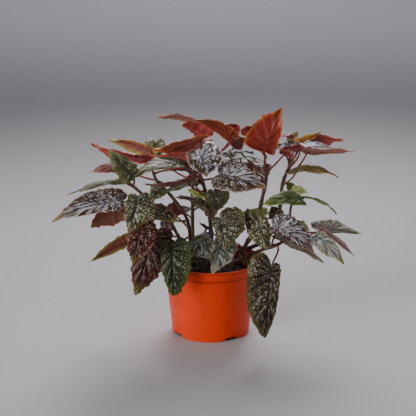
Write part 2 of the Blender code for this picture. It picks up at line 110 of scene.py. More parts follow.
class Leaf(NamedTuple):
    """One leaf. Its form is the arch of the midrib, the slope of the halves up from it, how lopsided it is,
    the basal lobe as a share of the length and, where it isn't 1, how fast it narrows to its tip. Lopsided
    by 0.3 means halves of 1.3 and 0.7 times half the width, the larger one on the right of a blade seen
    from above with its tip up, or on the left with a minus sign."""

    name: str
    look: str
    junction: tuple  # where the stalk meets the blade
    tip: tuple
    width: float
    face: tuple  # which way the upper face looks
    form: tuple
    cane: str
    height: float  # at which the stalk leaves its cane


LEAVES = [Leaf(*row) for row in (
    ("leaf_crown_1", "copper", (-22, 92, 262), (-71, 106, 264), 28,
     (0, 0.5, 0.85), (3, 0.1, -0.2, 0.15), "cane_left_back", 226),
    ("leaf_crown_2", "crimson", (-10, 62, 251), (-40, 50, 269), 32,
     (0, 0.65, 0.75), (2, 0.1, -0.3, 0.2), "cane_left_back", 230),
    ("leaf_crown_3", "ruby", (28, 35, 251.5), (-21, 22, 283), 23,
     (0.15, 0.8, 0.6), (3, 0.1, -0.28, 0.05), "cane_left_back", 222),
    ("leaf_crown_4", "crimson", (31, 92, 248), (27, 87, 261), 22,
     (0, 0.9, 0.35), (2, 0.1, 0.1, 0.2), "cane_left_back", 214),
    ("leaf_crown_5", "crimson", (52, 88, 246), (52, 84, 258), 21,
     (0, 0.9, 0.35), (2, 0.1, 0.1, 0.2), "cane_left_back", 222),
    ("leaf_crown_6", "scarlet", (70, 28, 237), (93, 46, 291), 42,
     (-0.1, 0.95, -0.3), (3, 0.1, 0.35, 0.04), "cane_right", 219),
    ("leaf_crown_7", "plum", (33, 52, 234), (46, 66, 246), 24,
     (0, 0.9, 0.1), (2, 0.1, 0.3, 0.1), "cane_right", 208),
    ("leaf_inner_1", "moss", (24, 22, 234), (56, 44, 230), 34,
     (0, 0.15, 1), (3, 0.1, 0.3, 0.25), "cane_right", 200),
    ("leaf_inner_2", "plum", (72, 46, 227), (52, 60, 237), 24,
     (0, 0.6, 0.8), (2, 0.1, -0.3, 0.15), "cane_right", 204),
    ("leaf_inner_3", "olive", (38, 2, 234), (70, -20, 232), 28,
     (0, 0.1, 1), (3, 0.1, 0.3, 0.2), "cane_right", 194),
    ("leaf_right_1", "crimson", (124, 74, 239), (176, 64, 242), 36,
     (0, 0.65, 0.75), (4, 0.1, -0.3, 0.2), "cane_far_right", 224),
    ("leaf_right_2", "golden", (115, 14, 253), (143, 5, 270), 17,
     (0, 0.5, 0.8), (-2, 0.2, 0.3, 0.1), "cane_far_right", 228),
    ("leaf_right_3", "silver", (98, 34, 243), (159, 28, 243), 28,
     (0, -0.1, 1), (3, 0.1, 0.1, 0.2), "cane_far_right", 222),
    ("leaf_right_4", "crimson", (113, -10, 249.5), (87, -21, 250.5), 22,
     (0, 0.6, 0.85), (2, 0.1, 0.1, 0.12), "cane_far_right", 218),
    ("leaf_right_5", "copper", (124, 6, 240), (186, 4, 246), 22,
     (0, 0.5, 0.85), (-3, 0.1, 0.45, 0.12), "cane_far_right", 212),
    ("leaf_right_6", "crimson", (92, -34, 248), (108, -46, 246.5), 20,
     (0, 0.65, 0.75), (2, 0.1, 0.3, 0.1), "cane_right", 214),
    ("leaf_right_7", "tawny", (112, -10, 222), (161, -34, 217), 20,
     (-0.15, -0.2, 1), (6, 0.1, 0.0, 0.25, 1.5), "cane_far_right", 196),
    ("leaf_right_8", "sprout", (110, 50, 175), (130, 52, 174), 17,
     (0, 0.9, 0.4), (1, 0.1, 0.25, 0.15), "cane_far_right", 172),
    ("leaf_right_9", "green", (117, -14, 183), (66, -34, 181), 33,
     (0, -0.3, 0.95), (5, 0.1, 0.15, 0.05), "cane_low_right", 172),
    ("leaf_right_10", "green", (122, 12, 178), (164, -8, 162), 15,
     (0, 0.1, 1), (5, 0.2, 0.3, 0.2), "cane_low_right", 178),
    ("leaf_right_11", "sage", (145, 10, 135), (199, 6, 130), 19,
     (0, -0.6, 0.7), (2, 0.1, -0.6, 0.15, 1.4), "cane_low_right", 134),
    ("leaf_right_12", "dusk", (145, -10, 139), (186, -30, 110), 15,
     (0.4, 0.6, 0.6), (2, 0.15, 0.3, 0.1), "cane_low_right", 140),
    ("leaf_right_13", "garnet", (82, -60, 161), (129, -82, 134), 34,
     (0.2, -0.65, 0.7), (4, 0.1, -0.31, 0.15), "cane_far_right", 152),
    ("leaf_right_14", "olive", (84, -37, 143), (142, -64, 114), 24,
     (0.1, 0.7, 0.65), (3, 0.1, -0.1, 0.05), "cane_low_right", 122),
    ("leaf_right_15", "jade", (131, -56, 147), (167, -80, 117), 30,
     (0.4, -0.6, 0.7), (4, 0.1, 0.1, 0.04), "cane_low_right", 136),
    ("leaf_front_1", "olive", (61, -48, 160), (72, -58, 129), 30,
     (0, -0.95, 0.3), (3, 0.1, 0.15, 0.6), "cane_right", 150),
    ("leaf_front_2", "olive", (11, -50, 168), (20, -63, 131), 40,
     (0, -0.95, 0.3), (4, 0.1, -0.52, 0.2), "cane_centre", 150),
    ("leaf_front_3", "moss", (4, -14, 192), (8, -18, 167), 30,
     (0, -0.95, 0.3), (2, 0.1, -0.3, 0.3), "cane_centre", 176),
    ("leaf_front_4", "silver", (13, -60, 229), (68, -86, 220), 37,
     (0, -0.85, 0.5), (4, 0.1, 0.05, 0.15), "cane_centre", 206),
    ("leaf_front_5", "silver", (-12, -58, 251), (-5, -74, 231), 44,
     (0, -0.7, 0.65), (3, 0.1, -0.2, 0.8), "cane_centre", 222),
    ("leaf_front_6", "rust", (-14, -16, 261), (-73, -40, 256), 40,
     (0, 0.7, 0.7), (-2, 0.1, 0.3, 0.25), "cane_centre", 230),
    ("leaf_front_7", "maroon", (-22, -22, 242), (-67, -38, 246), 32,
     (0, 0.65, 0.75), (2, 0.1, 0.3, 0.15), "cane_centre", 208),
    ("leaf_front_8", "pearl", (-36, -56, 240), (-95, -88, 235), 34,
     (0, -0.15, 1), (5, 0.1, 0.45, 0.15), "cane_centre", 218),
    ("leaf_front_9", "pewter", (-3, -38, 139), (-36, -47, 124), 34,
     (-0.1, -0.85, 0.5), (3, 0.1, -0.45, 0.1), "cane_centre", 134),
    ("leaf_front_10", "pewter", (15, -47, 137), (1, -73, 102), 30,
     (0, -0.95, 0.5), (3, 0.1, -0.3, 0.1), "cane_centre", 130),
    ("leaf_front_11", "bronze", (75, -84, 113), (68, -100, 26), 41,
     (0, -0.95, 0.3), (5, 0.05, 0.4, 0.15, 0.65), "cane_low_right", 124),
    ("leaf_front_12", "fern", (-49, -70, 138), (-47, -84, 77), 37,
     (0, -0.95, 0.3), (3, 0.1, -0.25, 0.12, 0.6), "cane_left_outer", 122),
    ("leaf_left_1", "moss", (-97, -62, 229), (-128, -54, 260), 25,
     (-0.3, -0.85, 0.4), (4, 0.1, -0.13, 0.1), "cane_left_outer", 210),
    ("leaf_left_2", "lime_edged", (-79, 32, 236), (-132, 24, 254), 30,
     (0, 0.7, 0.7), (2, 0.1, 0.3, 0.2), "cane_left", 222),
    ("leaf_left_3", "crimson", (-84, -10, 237), (-150, -36, 262), 30,
     (0, 0.6, 0.8), (-4, 0.1, 0.3, 0.2), "cane_left", 228),
    ("leaf_left_4", "pearl", (-74, 56, 240), (-74, 48, 220), 28,
     (0, -0.9, 0.4), (2, 0.1, 0, 0.35), "cane_left_back", 206),
    ("leaf_left_5", "pearl", (-108, -34, 212), (-178, -56, 200), 20,
     (0, -0.05, 1), (5, 0.1, 0.1, 0.05), "cane_left_outer", 206),
    ("leaf_left_6", "plum", (-32, -26, 212), (-83, -46, 211), 18,
     (0, 0.6, 0.8), (-2, 0.1, 0.3, 0.15), "cane_centre", 190),
    ("leaf_left_7", "silver", (-117, -74, 198), (-196, -92, 180), 34,
     (-0.1, -0.65, 0.75), (6, 0.1, 0.28, 0.14), "cane_left_outer", 198),
    ("leaf_left_8", "copper", (-115, -50, 186), (-152, -58, 160), 36,
     (0.2, 0.85, 0.45), (4, 0.1, 0.3, 0.05), "cane_left_outer", 176),
    ("leaf_left_9", "olive", (-90, -94, 205), (-100, -106, 167), 33,
     (0.1, -0.9, 0.45), (3, 0.1, -0.25, 0.25), "cane_left_outer", 188),
    ("leaf_left_10", "bronze", (-72, -60, 186), (-40, -78, 174), 24,
     (0, -0.65, 0.7), (3, 0.1, 0.3, 0.2), "cane_left_outer", 176),
    ("leaf_left_11", "umber", (-87, -82, 167), (-97, -93, 122), 34,
     (0, -0.95, 0.25), (4, 0.1, -0.2, 0.2), "cane_left_outer", 168),
    ("leaf_left_12", "umber", (-72, -56, 148), (-96, -74, 74), 43,
     (0, -0.95, 0.25), (4, 0.1, -0.16, 0.15, 0.8), "cane_left_outer", 146),
    ("leaf_left_13", "lime_edged", (-108, 0, 124), (-156, -16, 99), 20,
     (0.2, 0.85, 0.45), (2, 0.15, -0.08, 0.2), "cane_left_outer", 134),
    ("leaf_left_14", "maroon", (-49, 30, 150), (-50, 46, 164), 26,
     (0, 0.9, 0.1), (2, 0.3, 0, 0.1), "cane_left", 140),
    # Leaves that fill the plant behind and between these, and the dried sheaths of old ones
    ("more_right_1", "crimson", (112, 40, 250), (94, 35, 256), 18,
     (0, 0.4, 0.9), (2, 0.1, 0.2, 0.2), "cane_far_right", 220),
    ("more_right_2", "sprout", (107, 60, 241), (116, 60, 256), 12,
     (0, 0.9, 0.3), (1, 0.1, 0.2, 0.2), "cane_far_right", 216),
    ("more_inner_1", "plum", (50, 50, 215), (54, 45, 205), 16,
     (0, -0.8, 0.5), (1, 0.1, 0.2, 0.2), "cane_right", 196),
    ("more_inner_2", "sprout", (61, 60, 206), (60, 60, 194), 14,
     (0, -0.9, 0.3), (1, 0.1, 0.2, 0.3), "cane_right", 190),
    ("more_right_3", "green", (110, 60, 174), (100, 60, 188), 12,
     (0, -0.9, 0.3), (1, 0.1, 0.2, 0.2), "cane_far_right", 166),
    ("more_right_4", "sprout", (120, 20, 142), (131, 20, 129), 9,
     (0, -0.9, 0.3), (1, 0.1, 0.2, 0.1), "cane_low_right", 150),
    ("more_right_5", "bronze", (84, 0, 156), (79, 2, 170), 20,
     (0, -0.95, 0.2), (2, 0.1, 0.2, 0.2), "cane_right", 150),
    ("more_left_1", "copper", (-112, 20, 216), (-158, 20, 212), 20,
     (0, -0.5, 0.8), (2, 0.1, 0.2, 0.2), "cane_left", 206),
    ("more_left_2", "pewter", (-59, 0, 149), (-58, 0, 133), 18,
     (0, 0.9, 0.3), (2, 0.1, 0.2, 0.2), "cane_left", 150),
    ("more_left_3", "pearl", (-22, 0, 202), (-62, -10, 189), 24,
     (0, -0.2, 0.9), (3, 0.1, 0.2, 0.2), "cane_centre", 184),
    ("more_left_4", "tawny", (-7, -10, 173), (-45, -10, 187), 15,
     (0, -0.3, 0.9), (2, 0.1, 0.2, 0.2), "cane_centre", 170),
    ("more_left_5", "maroon", (-15, 0, 207), (-31, 0, 211), 18,
     (0, -0.3, 0.9), (1, 0.1, 0.2, 0.2), "cane_centre", 200),
    ("more_left_6", "crimson", (-38, 10, 223), (-67, 10, 217), 20,
     (0, -0.5, 0.8), (2, 0.1, 0.2, 0.2), "cane_left", 214),
    ("more_left_7", "pearl", (-63, 20, 188), (-80, 20, 173), 22,
     (0, -0.8, 0.5), (2, 0.1, 0.2, 0.2), "cane_left", 184),
    ("more_left_8", "sprout", (-13, 10, 178), (-30, 10, 190), 16,
     (0, -0.6, 0.7), (2, 0.1, 0.2, 0.2), "cane_left_back", 176),
    ("more_back_1", "plum", (-52, 62, 206), (-84, 88, 196), 38,
     (-0.2, 0.4, 0.9), (6, 0.1, 0.2, 0.2), "cane_left_back", 196),
    ("more_back_2", "bronze", (-20, 72, 212), (-26, 104, 186), 42,
     (0, 0.7, 0.7), (5, 0.1, -0.3, 0.25), "cane_left_back", 204),
    ("more_back_3", "olive", (24, 66, 214), (26, 104, 192), 44,
     (0, 0.7, 0.7), (5, 0.1, 0.3, 0.25), "cane_right", 204),
    ("more_back_4", "silver", (64, 62, 208), (78, 100, 182), 42,
     (0.1, 0.7, 0.7), (5, 0.1, -0.3, 0.25), "cane_right", 198),
    ("more_back_5", "bronze", (116, 56, 234), (150, 84, 228), 26,
     (0, 0.1, 1), (3, 0.1, 0.3, 0.2), "cane_far_right", 204),
    ("more_back_6", "olive", (0, 62, 160), (4, 92, 128), 40,
     (0, 0.8, 0.5), (4, 0.1, -0.3, 0.2), "cane_left_back", 156),
    ("more_back_7", "green", (52, 58, 146), (62, 86, 116), 36,
     (0, 0.8, 0.5), (4, 0.1, 0.3, 0.2), "cane_right", 150),
    ("more_back_8", "moss", (-46, 58, 152), (-62, 88, 122), 36,
     (-0.1, 0.8, 0.5), (4, 0.1, 0.3, 0.2), "cane_left_back", 146),
    ("dried_sheath_1", "dried", (46, -24, 100), (36, -26, 128), 13,
     (0.3, -0.9, 0.3), (-4, 0.7, 0.2, 0.1), "cane_low_right", 102),
    ("dried_sheath_2", "dried", (-8, 4, 134), (-14, -4, 149), 7,
     (0.6, -0.6, 0.2), (4, 0.8, 0.2, 0.1), "cane_centre", 130),
    ("dried_sheath_3", "dried", (-36, -4, 124), (-44, -8, 112), 8,
     (-0.3, -0.9, 0.2), (3, 0.7, 0.2, 0.1), "cane_left", 128),
)]

# Leaves whose one half has more silver than the other, a painted sheen of light on that half: its side, and
# how much
SILVER_AND_PAINTED_SHEEN = {
    "leaf_front_4": (-1, 0.12),
    "leaf_left_7": (-1, 0.08),
    "leaf_right_13": (-1, 0.1),
}

# How light a leaf is against the others with its look: partly its own tone, partly painted light and shade
LEAF_TONE_AND_PAINTED_LIGHT = {
    "leaf_crown_2": 1.12, "leaf_crown_3": 0.95, "leaf_crown_4": 0.85, "leaf_crown_5": 0.75,
    "leaf_crown_6": 1.05, "leaf_right_1": 1.2, "leaf_right_2": 1.5, "leaf_right_4": 0.85,
    "leaf_right_5": 1.2, "leaf_right_6": 0.7, "leaf_right_7": 1.35, "leaf_right_8": 1.5,
    "leaf_right_9": 0.87, "leaf_right_10": 0.95, "leaf_right_11": 1.4, "leaf_right_12": 0.9,
    "leaf_right_13": 1.42, "leaf_right_15": 1.2, "leaf_front_1": 1.45, "leaf_front_4": 1.15,
    "leaf_front_5": 1.25, "leaf_front_6": 1.6, "leaf_front_7": 1.9, "leaf_front_9": 2.0,
    "leaf_front_10": 1.45, "leaf_front_11": 0.8, "leaf_front_12": 0.8, "leaf_left_1": 1.25,
    "leaf_left_2": 1.4, "leaf_left_3": 1.25, "leaf_left_4": 1.6, "leaf_left_6": 0.75, "leaf_left_7": 1.45,
    "leaf_left_8": 0.85, "leaf_left_9": 1.1, "leaf_left_10": 1.6, "leaf_left_11": 0.9,
    "leaf_left_12": 0.65, "leaf_left_13": 0.8, "leaf_left_14": 0.45, "more_left_8": 2.2,
}

# A blade runs in rows from the notch at its base to the tip. The rows up to STALK_ROW start at the stalk,
# and the later ones start on the midrib, gathered towards the stalk by a power of VEIN_SWEEP.
STALK_ROW = 0.15
WIDEST_ROW = 0.375
VEIN_SWEEP = 3.0
ROWS_A_VEIN = 8
BLADE_COLUMNS = 26
VEIN_ROOM = 8.5  # from one side vein to the next
FEWEST_VEINS, MOST_VEINS = 4, 9
TIP_WIDTH = 0.5
# One half's margin from the notch round to the tip: across as a share of the half's width, along as a share
# of the blade's length, and back as a share of the basal lobe
MARGIN = (
    (0.05, 0.0, 0.5), (0.35, 0.0, 1.0), (0.8, 0.0, 0.75), (1.0, 0.06, 0.0), (1.0, 0.28, 0.0),
    (0.85, 0.5, 0.0), (0.54, 0.72, 0.0), (0.18, 0.89, 0.0), (0.0, 1.0, 0.0),
)


class Look(NamedTuple):
    """How one kind of leaf is coloured and creased. Its colours are names in BegoniaColours."""

    slot: str  # the record's material slot
    ground: str  # between the spots
    spots: str
    cover: float  # radius of a spot, as a share of the room from one spot to the next
    heart: float  # how much more of that the middle of the blade has than its margin
    spot: float  # mm from one spot to the next
    stretch: float  # how many times longer a spot is along the side veins than across them
    veins: str
    vein_width: float  # about the mm across a side vein where it leaves the midrib
    rim: str
    rim_from: float  # where the rim's colour begins, as a share of the way from the midrib to the margin
    tip: str
    back: str
    back_veins: str
    stalk: str
    pucker: float  # mm that the blade rises between two side veins
    teeth: float  # mm from the notch to the point of a large tooth
    roughness: float


LOOKS = {
    "scarlet": Look("young_leaf", "scarlet", "ember", 0.28, 0.1, 3.4, 1.6, "amber", 0.45, "amber", 0.9,
        "amber", "scarlet", "sand", "red", 0.9, 2.6, 0.42),
    "ruby": Look("young_leaf", "rust", "ember", 0.25, 0.1, 2.8, 2.4, "oxblood", 0.5, "amber", 0.86,
        "lime", "ruby", "ember", "red", 1.3, 3.0, 0.38),
    "crimson": Look("young_leaf", "crimson", "ember", 0.28, 0.1, 2.6, 2.4, "oxblood", 0.5, "ember",
        0.88, "amber", "flame", "crimson", "red", 1.6, 3.4, 0.34),
    "rust": Look("young_leaf", "rust", "amber", 0.22, 0.1, 2.8, 2.4, "oxblood", 0.5, "amber", 0.86,
        "lime", "tangerine", "crimson", "red", 1.3, 3.0, 0.38),
    "lime_edged": Look("young_leaf", "clay", "oxblood", 0.25, 0.1, 2.8, 3, "oxblood", 0.7, "lime", 0.6,
        "lime", "coral", "oxblood", "salmon", 0.9, 2.4, 0.42),
    "golden": Look("young_leaf", "clay", "lime", 0.3, 0.1, 2.8, 3, "oxblood", 0.7, "lime", 0.3, "lime",
        "amber", "oxblood", "salmon", 0.9, 2.4, 0.42),
    "maroon": Look("bronze_leaf", "oxblood", "mauve", 0.2, 0.1, 2.6, 3, "crimson", 0.6, "red", 0.85,
        "red", "rosewood", "red", "red", 1.6, 2.8, 0.28),
    "plum": Look("bronze_leaf", "oxblood", "mauve", 0.28, 0.1, 2.6, 2, "umber", 0.6, "clay", 0.93,
        "clay", "clay", "salmon", "red", 1.0, 2.4, 0.42),
    "dusk": Look("bronze_leaf", "oxblood", "mauve", 0.28, 0.1, 2.6, 2, "umber", 0.6, "clay", 0.93,
        "tan", "mauve", "clay", "red", 1.0, 2.0, 0.42),
    "copper": Look("bronze_leaf", "russet", "mauve", 0.28, 0.1, 2.6, 2, "umber", 0.6, "ember", 0.93,
        "lime", "clay", "salmon", "red", 1.0, 2.6, 0.38),
    "umber": Look("bronze_leaf", "umber", "chalk", 0.19, 0.06, 2.4, 1.3, "umber", 1.3, "russet", 0.88,
        "lime", "russet", "clay", "red", 1.6, 3.0, 0.3),
    "bronze": Look("bronze_leaf", "bark_brown", "chalk", 0.23, 0.06, 2.2, 1.4, "black_brown", 1.1,
        "olive", 0.76, "olive", "russet", "clay", "red", 1.6, 2.0, 0.32),
    "tawny": Look("olive_leaf", "tawny", "olive", 0.3, 0.1, 2.8, 2, "umber", 0.6, "tan", 0.85, "tan",
        "tawny", "umber", "salmon", 1.2, 2.4, 0.42),
    "silver": Look("silver_leaf", "bark_brown", "silver", 0.34, 0.33, 1.9, 2.6, "bark_brown", 0.7,
        "mauve", 0.95, "tan", "clay", "salmon", "brown", 1.4, 2.6, 0.26),
    "garnet": Look("silver_leaf", "cocoa", "silver", 0.37, 0.4, 1.9, 2.8, "black_brown", 0.8,
        "rose_grey", 0.95, "clay", "clay", "salmon", "red", 1.4, 2.6, 0.26),
    "pearl": Look("silver_leaf", "olive", "pearl", 0.36, 0.15, 2.4, 3.5, "moss", 0.8, "olive", 0.93,
        "olive", "rose_grey", "salmon", "brown", 1.2, 2.0, 0.32),
    "jade": Look("silver_leaf", "jade", "silver", 0.4, 0.2, 1.9, 3.4, "olive", 0.5, "lime", 0.88,
        "lime", "rose_grey", "salmon", "brown", 1.2, 2.0, 0.34),
    "pewter": Look("olive_leaf", "moss", "pewter", 0.42, 0.15, 1.7, 3.4, "black_brown", 0.6,
        "rose_grey", 0.93, "tan", "rose_grey", "umber", "brown", 1.0, 2.0, 0.36),
    "sage": Look("olive_leaf", "rose_grey", "pearl", 0.34, 0.15, 2.6, 2, "olive", 0.6, "tan", 0.93,
        "tan", "rose_grey", "salmon", "salmon", 0.9, 1.6, 0.4),
    "olive": Look("olive_leaf", "dark_olive", "frost", 0.26, 0.2, 2.1, 1.5, "dark_olive", 1.0, "olive",
        0.86, "tan", "rose_grey", "umber", "brown", 1.5, 2.8, 0.32),
    "moss": Look("green_leaf", "moss", "pewter", 0.16, 0.1, 2.4, 1.6, "dark_olive", 0.6, "olive", 0.75,
        "lime", "rose_grey", "umber", "brown", 1.5, 2.8, 0.34),
    "fern": Look("green_leaf", "fern", "frost", 0.18, 0.04, 2.2, 1.3, "fern", 1.2, "grass", 0.65,
        "grass", "pale_green", "leaf_green", "brown", 1.6, 3.4, 0.32),
    "green": Look("green_leaf", "leaf_green", "pale_green", 0.25, 0.1, 2.6, 2, "grass", 0.7, "lime",
        0.93, "lime", "pale_green", "leaf_green", "brown", 1.2, 2.6, 0.5),
    "sprout": Look("green_leaf", "sprout", "lime", 0.2, 0.1, 3, 2, "leaf_green", 0.4, "lime", 0.85,
        "lime", "sprout", "leaf_green", "brown", 1.0, 2.4, 0.42),
    "dried": Look("cane_bark", "dead", "umber", 0.3, 0.0, 3, 2, "umber", 0.8, "umber", 0.85, "umber",
        "dead", "umber", "brown", 1.6, 1.6, 0.7),
}


def linear(text):
    """An sRGB colour written in hex, as linear red, green and blue."""
    shares = [int(text[i : i + 2], 16) / 255 for i in (0, 2, 4)]
    return tuple(s / 12.92 if s <= 0.04045 else ((s + 0.055) / 1.055) ** 2.4 for s in shares)


def colour_property(name, text, description):
    return bpy.props.FloatVectorProperty(
        name=name, description=description, subtype="COLOR", size=3, min=0, max=1, default=linear(text)
    )


def length_property(name, millimetres, description):
    return bpy.props.FloatProperty(
        name=name, description=description, unit="LENGTH", precision=5, min=0, default=millimetres * MM
    )


def power_property(name, watts, description):
    return bpy.props.FloatProperty(
        name=name, description=description, unit="POWER", min=0, default=watts
    )


class BegoniaColours(bpy.types.PropertyGroup):
    """Every colour of the plant and its pot."""

    scarlet: colour_property("Scarlet", "86241A", "Youngest blades, lit from behind")
    crimson: colour_property("Crimson", "8E2C24", "Young crinkled blades")
    ember: colour_property("Ember", "AE4830", "Raised parts of young blades")
    rust: colour_property("Rust", "7C2E1E", "Older young blades")
    amber: colour_property("Amber", "B4642C", "Rims and tips of young blades")
    sand: colour_property("Sand", "B07848", "Pale veins on the back of young blades")
    lime: colour_property("Lime", "9C9C44", "Rims and tips of some young blades")
    clay: colour_property("Clay", "8E5A48", "Backs of bronze blades")
    salmon: colour_property("Salmon", "A0644C", "Veins on the backs of bronze blades")
    mauve: colour_property("Mauve", "A88886", "Sheen on bronze blades")
    oxblood: colour_property("Oxblood", "561C1A", "Darkest red blades")
    russet: colour_property("Russet", "6A3A28", "Red-brown blades")
    umber: colour_property("Umber", "4A1A0C", "Bronze blades between their spots")
    cocoa: colour_property("Cocoa", "3E261C", "Brown blades under broad silver")
    black_brown: colour_property("Black-brown", "1E140E", "Sunken veins of dark blades")
    bark_brown: colour_property("Bark brown", "3A2A14", "Silver blades between their spots")
    silver: colour_property("Silver", "B4B6BE", "Spots of silver blades")
    pearl: colour_property("Pearl", "9AA094", "Streaks of pearl-grey blades")
    pewter: colour_property("Pewter", "7C8284", "Streaks of dull grey and dark green blades")
    jade: colour_property("Jade", "6C6E50", "Grey-green blades between their spots")
    chalk: colour_property("Chalk", "C4BAAC", "Speckles of bronze blades")
    rose_grey: colour_property("Rose grey", "6E665A", "Backs of old blades")
    tan: colour_property("Tan", "8A7248", "Rims of old blades")
    dark_olive: colour_property("Dark olive", "3E3A1E", "Olive blades between their spots")
    frost: colour_property("Frost", "B0B0A0", "Speckles of olive and toothed green blades")
    # Rosewood: the backs' own colour, lightened by painted light where these backs face down into shade
    rosewood: colour_property("Rosewood", "A25C56", "Backs of maroon blades")
    ruby: colour_property("Ruby", "7C382A", "Backs of dark red blades")
    # Flame and tangerine: the backs' own red and orange, lightened by a painted glow of light through the
    # blade
    flame: colour_property("Flame", "9A4442", "Backs of young crinkled blades")
    tangerine: colour_property("Tangerine", "98503C", "Backs of orange blades")
    coral: colour_property("Coral", "945646", "Backs of lime-edged blades")
    tawny: colour_property("Tawny", "5E4C2E", "Smooth brown-green blades")
    sprout: colour_property("Sprout", "B8C284", "New pale green blades")
    fern: colour_property("Fern", "2E320E", "Toothed green blades between their spots")
    olive: colour_property("Olive", "5A5426", "Olive blades")
    moss: colour_property("Moss", "3C3C1E", "Dark green blades")
    leaf_green: colour_property("Leaf green", "546E20", "Green blades")
    grass: colour_property("Grass", "4A5A20", "Rims of toothed green blades")
    pale_green: colour_property("Pale green", "8EA054", "Spots of green blades")
    red: colour_property("Red stalk", "8E2C20", "Stalks of young leaves")
    brown: colour_property("Brown stalk", "5E3424", "Stalks of old leaves")
    cane: colour_property("Cane", "543A2A", "Skin of a cane")
    cane_green: colour_property("Green cane", "54522A", "Skin of a cane's shaded or young parts")
    cane_scar: colour_property("Cane scar", "8A6C50", "Ring scars and the pale specks of a cane")
    plastic: colour_property("Plastic", "E03A04", "The pot")
    mix: colour_property("Mix", "201C1A", "Peat in the pot")
    mix_dry: colour_property("Dry mix", "4A423A", "Peat that has dried on top")
    chip: colour_property("Bark chip", "5A4230", "Chips of bark in the mix")
    dead: colour_property("Dead leaf", "86694A", "Dried sheaths")


class BegoniaPot(bpy.types.PropertyGroup):
    """Sizes of the pot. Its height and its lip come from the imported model."""

    height: bpy.props.FloatProperty(
        name="Height", description="Height of the pot", unit="LENGTH", default=POT_BOX[1].z
    )
    lip_radius: bpy.props.FloatProperty(
        name="Lip radius", description="Outer radius of the lip", unit="LENGTH", default=POT_BOX[1].x
    )
    foot_radius: length_property("Foot radius", 51, "Outer radius of the foot")
    band: length_property("Band", 13, "Height of the band under the lip")
    wall: length_property("Wall", 1.2, "Thickness of the wall")
    sides: bpy.props.IntProperty(name="Sides", description="Facets round the pot", default=144, min=24)


class BegoniaMix(bpy.types.PropertyGroup):
    """What the mix is made of."""

    lump: length_property("Lumps", 1.6, "Height of the lumps on top of the mix")
    crumbs: bpy.props.IntProperty(name="Crumbs", description="Loose crumbs on the mix", default=420, min=1)
    chips: bpy.props.IntProperty(name="Chips", description="Bark chips on the mix", default=60, min=1)
    seed: bpy.props.IntProperty(name="Seed", description="Starts the random draws of the mix", default=7)


class BegoniaCanes(bpy.types.PropertyGroup):
    """How the canes are ringed."""

    node_room: length_property("Node spacing", 22, "Room between two bare nodes of a cane")
    swelling: bpy.props.FloatProperty(
        name="Swelling", description="How much a cane widens at a node", subtype="FACTOR", default=0.3,
        min=0,
    )
    seed: bpy.props.IntProperty(name="Seed", description="Starts the random draws of the canes", default=3)


class BegoniaLeaves(bpy.types.PropertyGroup):
    """Sizes that all the leaves share."""

    thickness: length_property("Thickness", 0.5, "Thickness of a blade")
    stalk: length_property("Stalk", 1.05, "Radius of a leaf stalk at the blade")
    pucker: bpy.props.FloatProperty(
        name="Pucker", description="Scales how far blades rise between their veins", default=1.0, min=0
    )
    teeth: bpy.props.FloatProperty(name="Teeth", description="Scales the teeth", default=1.3, min=0)


class BegoniaStage(bpy.types.PropertyGroup):
    """The floor, the lights and the camera."""

    floor: colour_property("Floor", "B4B2B4", "The floor")
    sky: colour_property("Surroundings", "B0B0B8", "Light from all round")
    sky_strength: bpy.props.FloatProperty(
        name="Surroundings", description="Strength of the light from all round", default=0.4, min=0
    )
    key: power_property("Key", 10, "Strength of the main light")
    fill: power_property("Fill", 1, "Strength of the light opposite it")
    top: power_property("Top", 9, "Strength of the light from above and behind")
    far: power_property("Far floor", 14, "Strength of each light on the floor far from the plant")
    elevation: bpy.props.FloatProperty(
        name="Elevation", description="Angle of the camera above the horizon", subtype="ANGLE",
        default=math.radians(16.5),
    )
    distance: length_property("Distance", 1700, "From the camera to the plant")
    lens: bpy.props.FloatProperty(
        name="Lens", description="Focal length in millimetres, on a 36 mm sensor", default=113.2, min=1
    )


# Shared steps


def deselect_all():
    for thing in bpy.context.selected_objects:
        thing.select_set(False)


def select_only(*things):
    """The first of them becomes the active one."""
    deselect_all()
    for thing in things:
        thing.select_set(True)
    bpy.context.view_layer.objects.active = things[0]


def rename(piece, name):
    piece.name = name
    piece.data.name = name
    if piece.name != name:
        raise RuntimeError(f"{name} is already there")
    return piece


def added(name):
    """The piece that an operator has just added, under its own name."""
    return rename(bpy.context.active_object, name)


def apply_modifier(piece, kind, name, settings):
    select_only(piece)
    modifier = piece.modifiers.new(name, kind)
    for key, value in settings.items():
        setattr(modifier, key, value)
    bpy.ops.object.modifier_apply(modifier=name)


def place_mesh(piece):
    """Puts a piece's place, turn and size into its mesh."""
    select_only(piece)
    bpy.ops.object.transform_apply(location=True, rotation=True, scale=True)


def tidy_mesh(piece, degrees=60):
    """Merges doubles, turns the faces outwards, and shades the piece smooth up to this angle."""
    select_only(piece)
    bpy.ops.object.mode_set(mode="EDIT")
    bpy.ops.mesh.select_all(action="SELECT")
    bpy.ops.mesh.remove_doubles(threshold=1e-6)
    bpy.ops.mesh.normals_make_consistent(inside=False)
    bpy.ops.object.mode_set(mode="OBJECT")
    bpy.ops.object.shade_smooth_by_angle(angle=math.radians(degrees))


def turned(name, profile, steps, degrees=60):
    """A piece turned on the pot's axis, from the radius and height of each point of its outline."""
    points = [Vector((radius * MM, 0, height * MM)) for radius, height in profile]
    deselect_all()
    bpy.ops.mesh.primitive_plane_add(size=MM)
    piece = added(name)
    bpy.ops.object.mode_set(mode="EDIT")
    bpy.ops.mesh.select_all(action="SELECT")
    bpy.ops.mesh.merge(type="CENTER")
    bpy.ops.transform.translate(value=points[0])
    for before, after in zip(points, points[1:]):
        bpy.ops.mesh.extrude_region_move(TRANSFORM_OT_translate={"value": after - before})
    bpy.ops.mesh.select_all(action="SELECT")
    bpy.ops.mesh.spin(steps=steps, angle=math.tau, center=(0, 0, 0), axis=(0, 0, 1))
    bpy.ops.object.mode_set(mode="OBJECT")
    tidy_mesh(piece, degrees)
    return piece


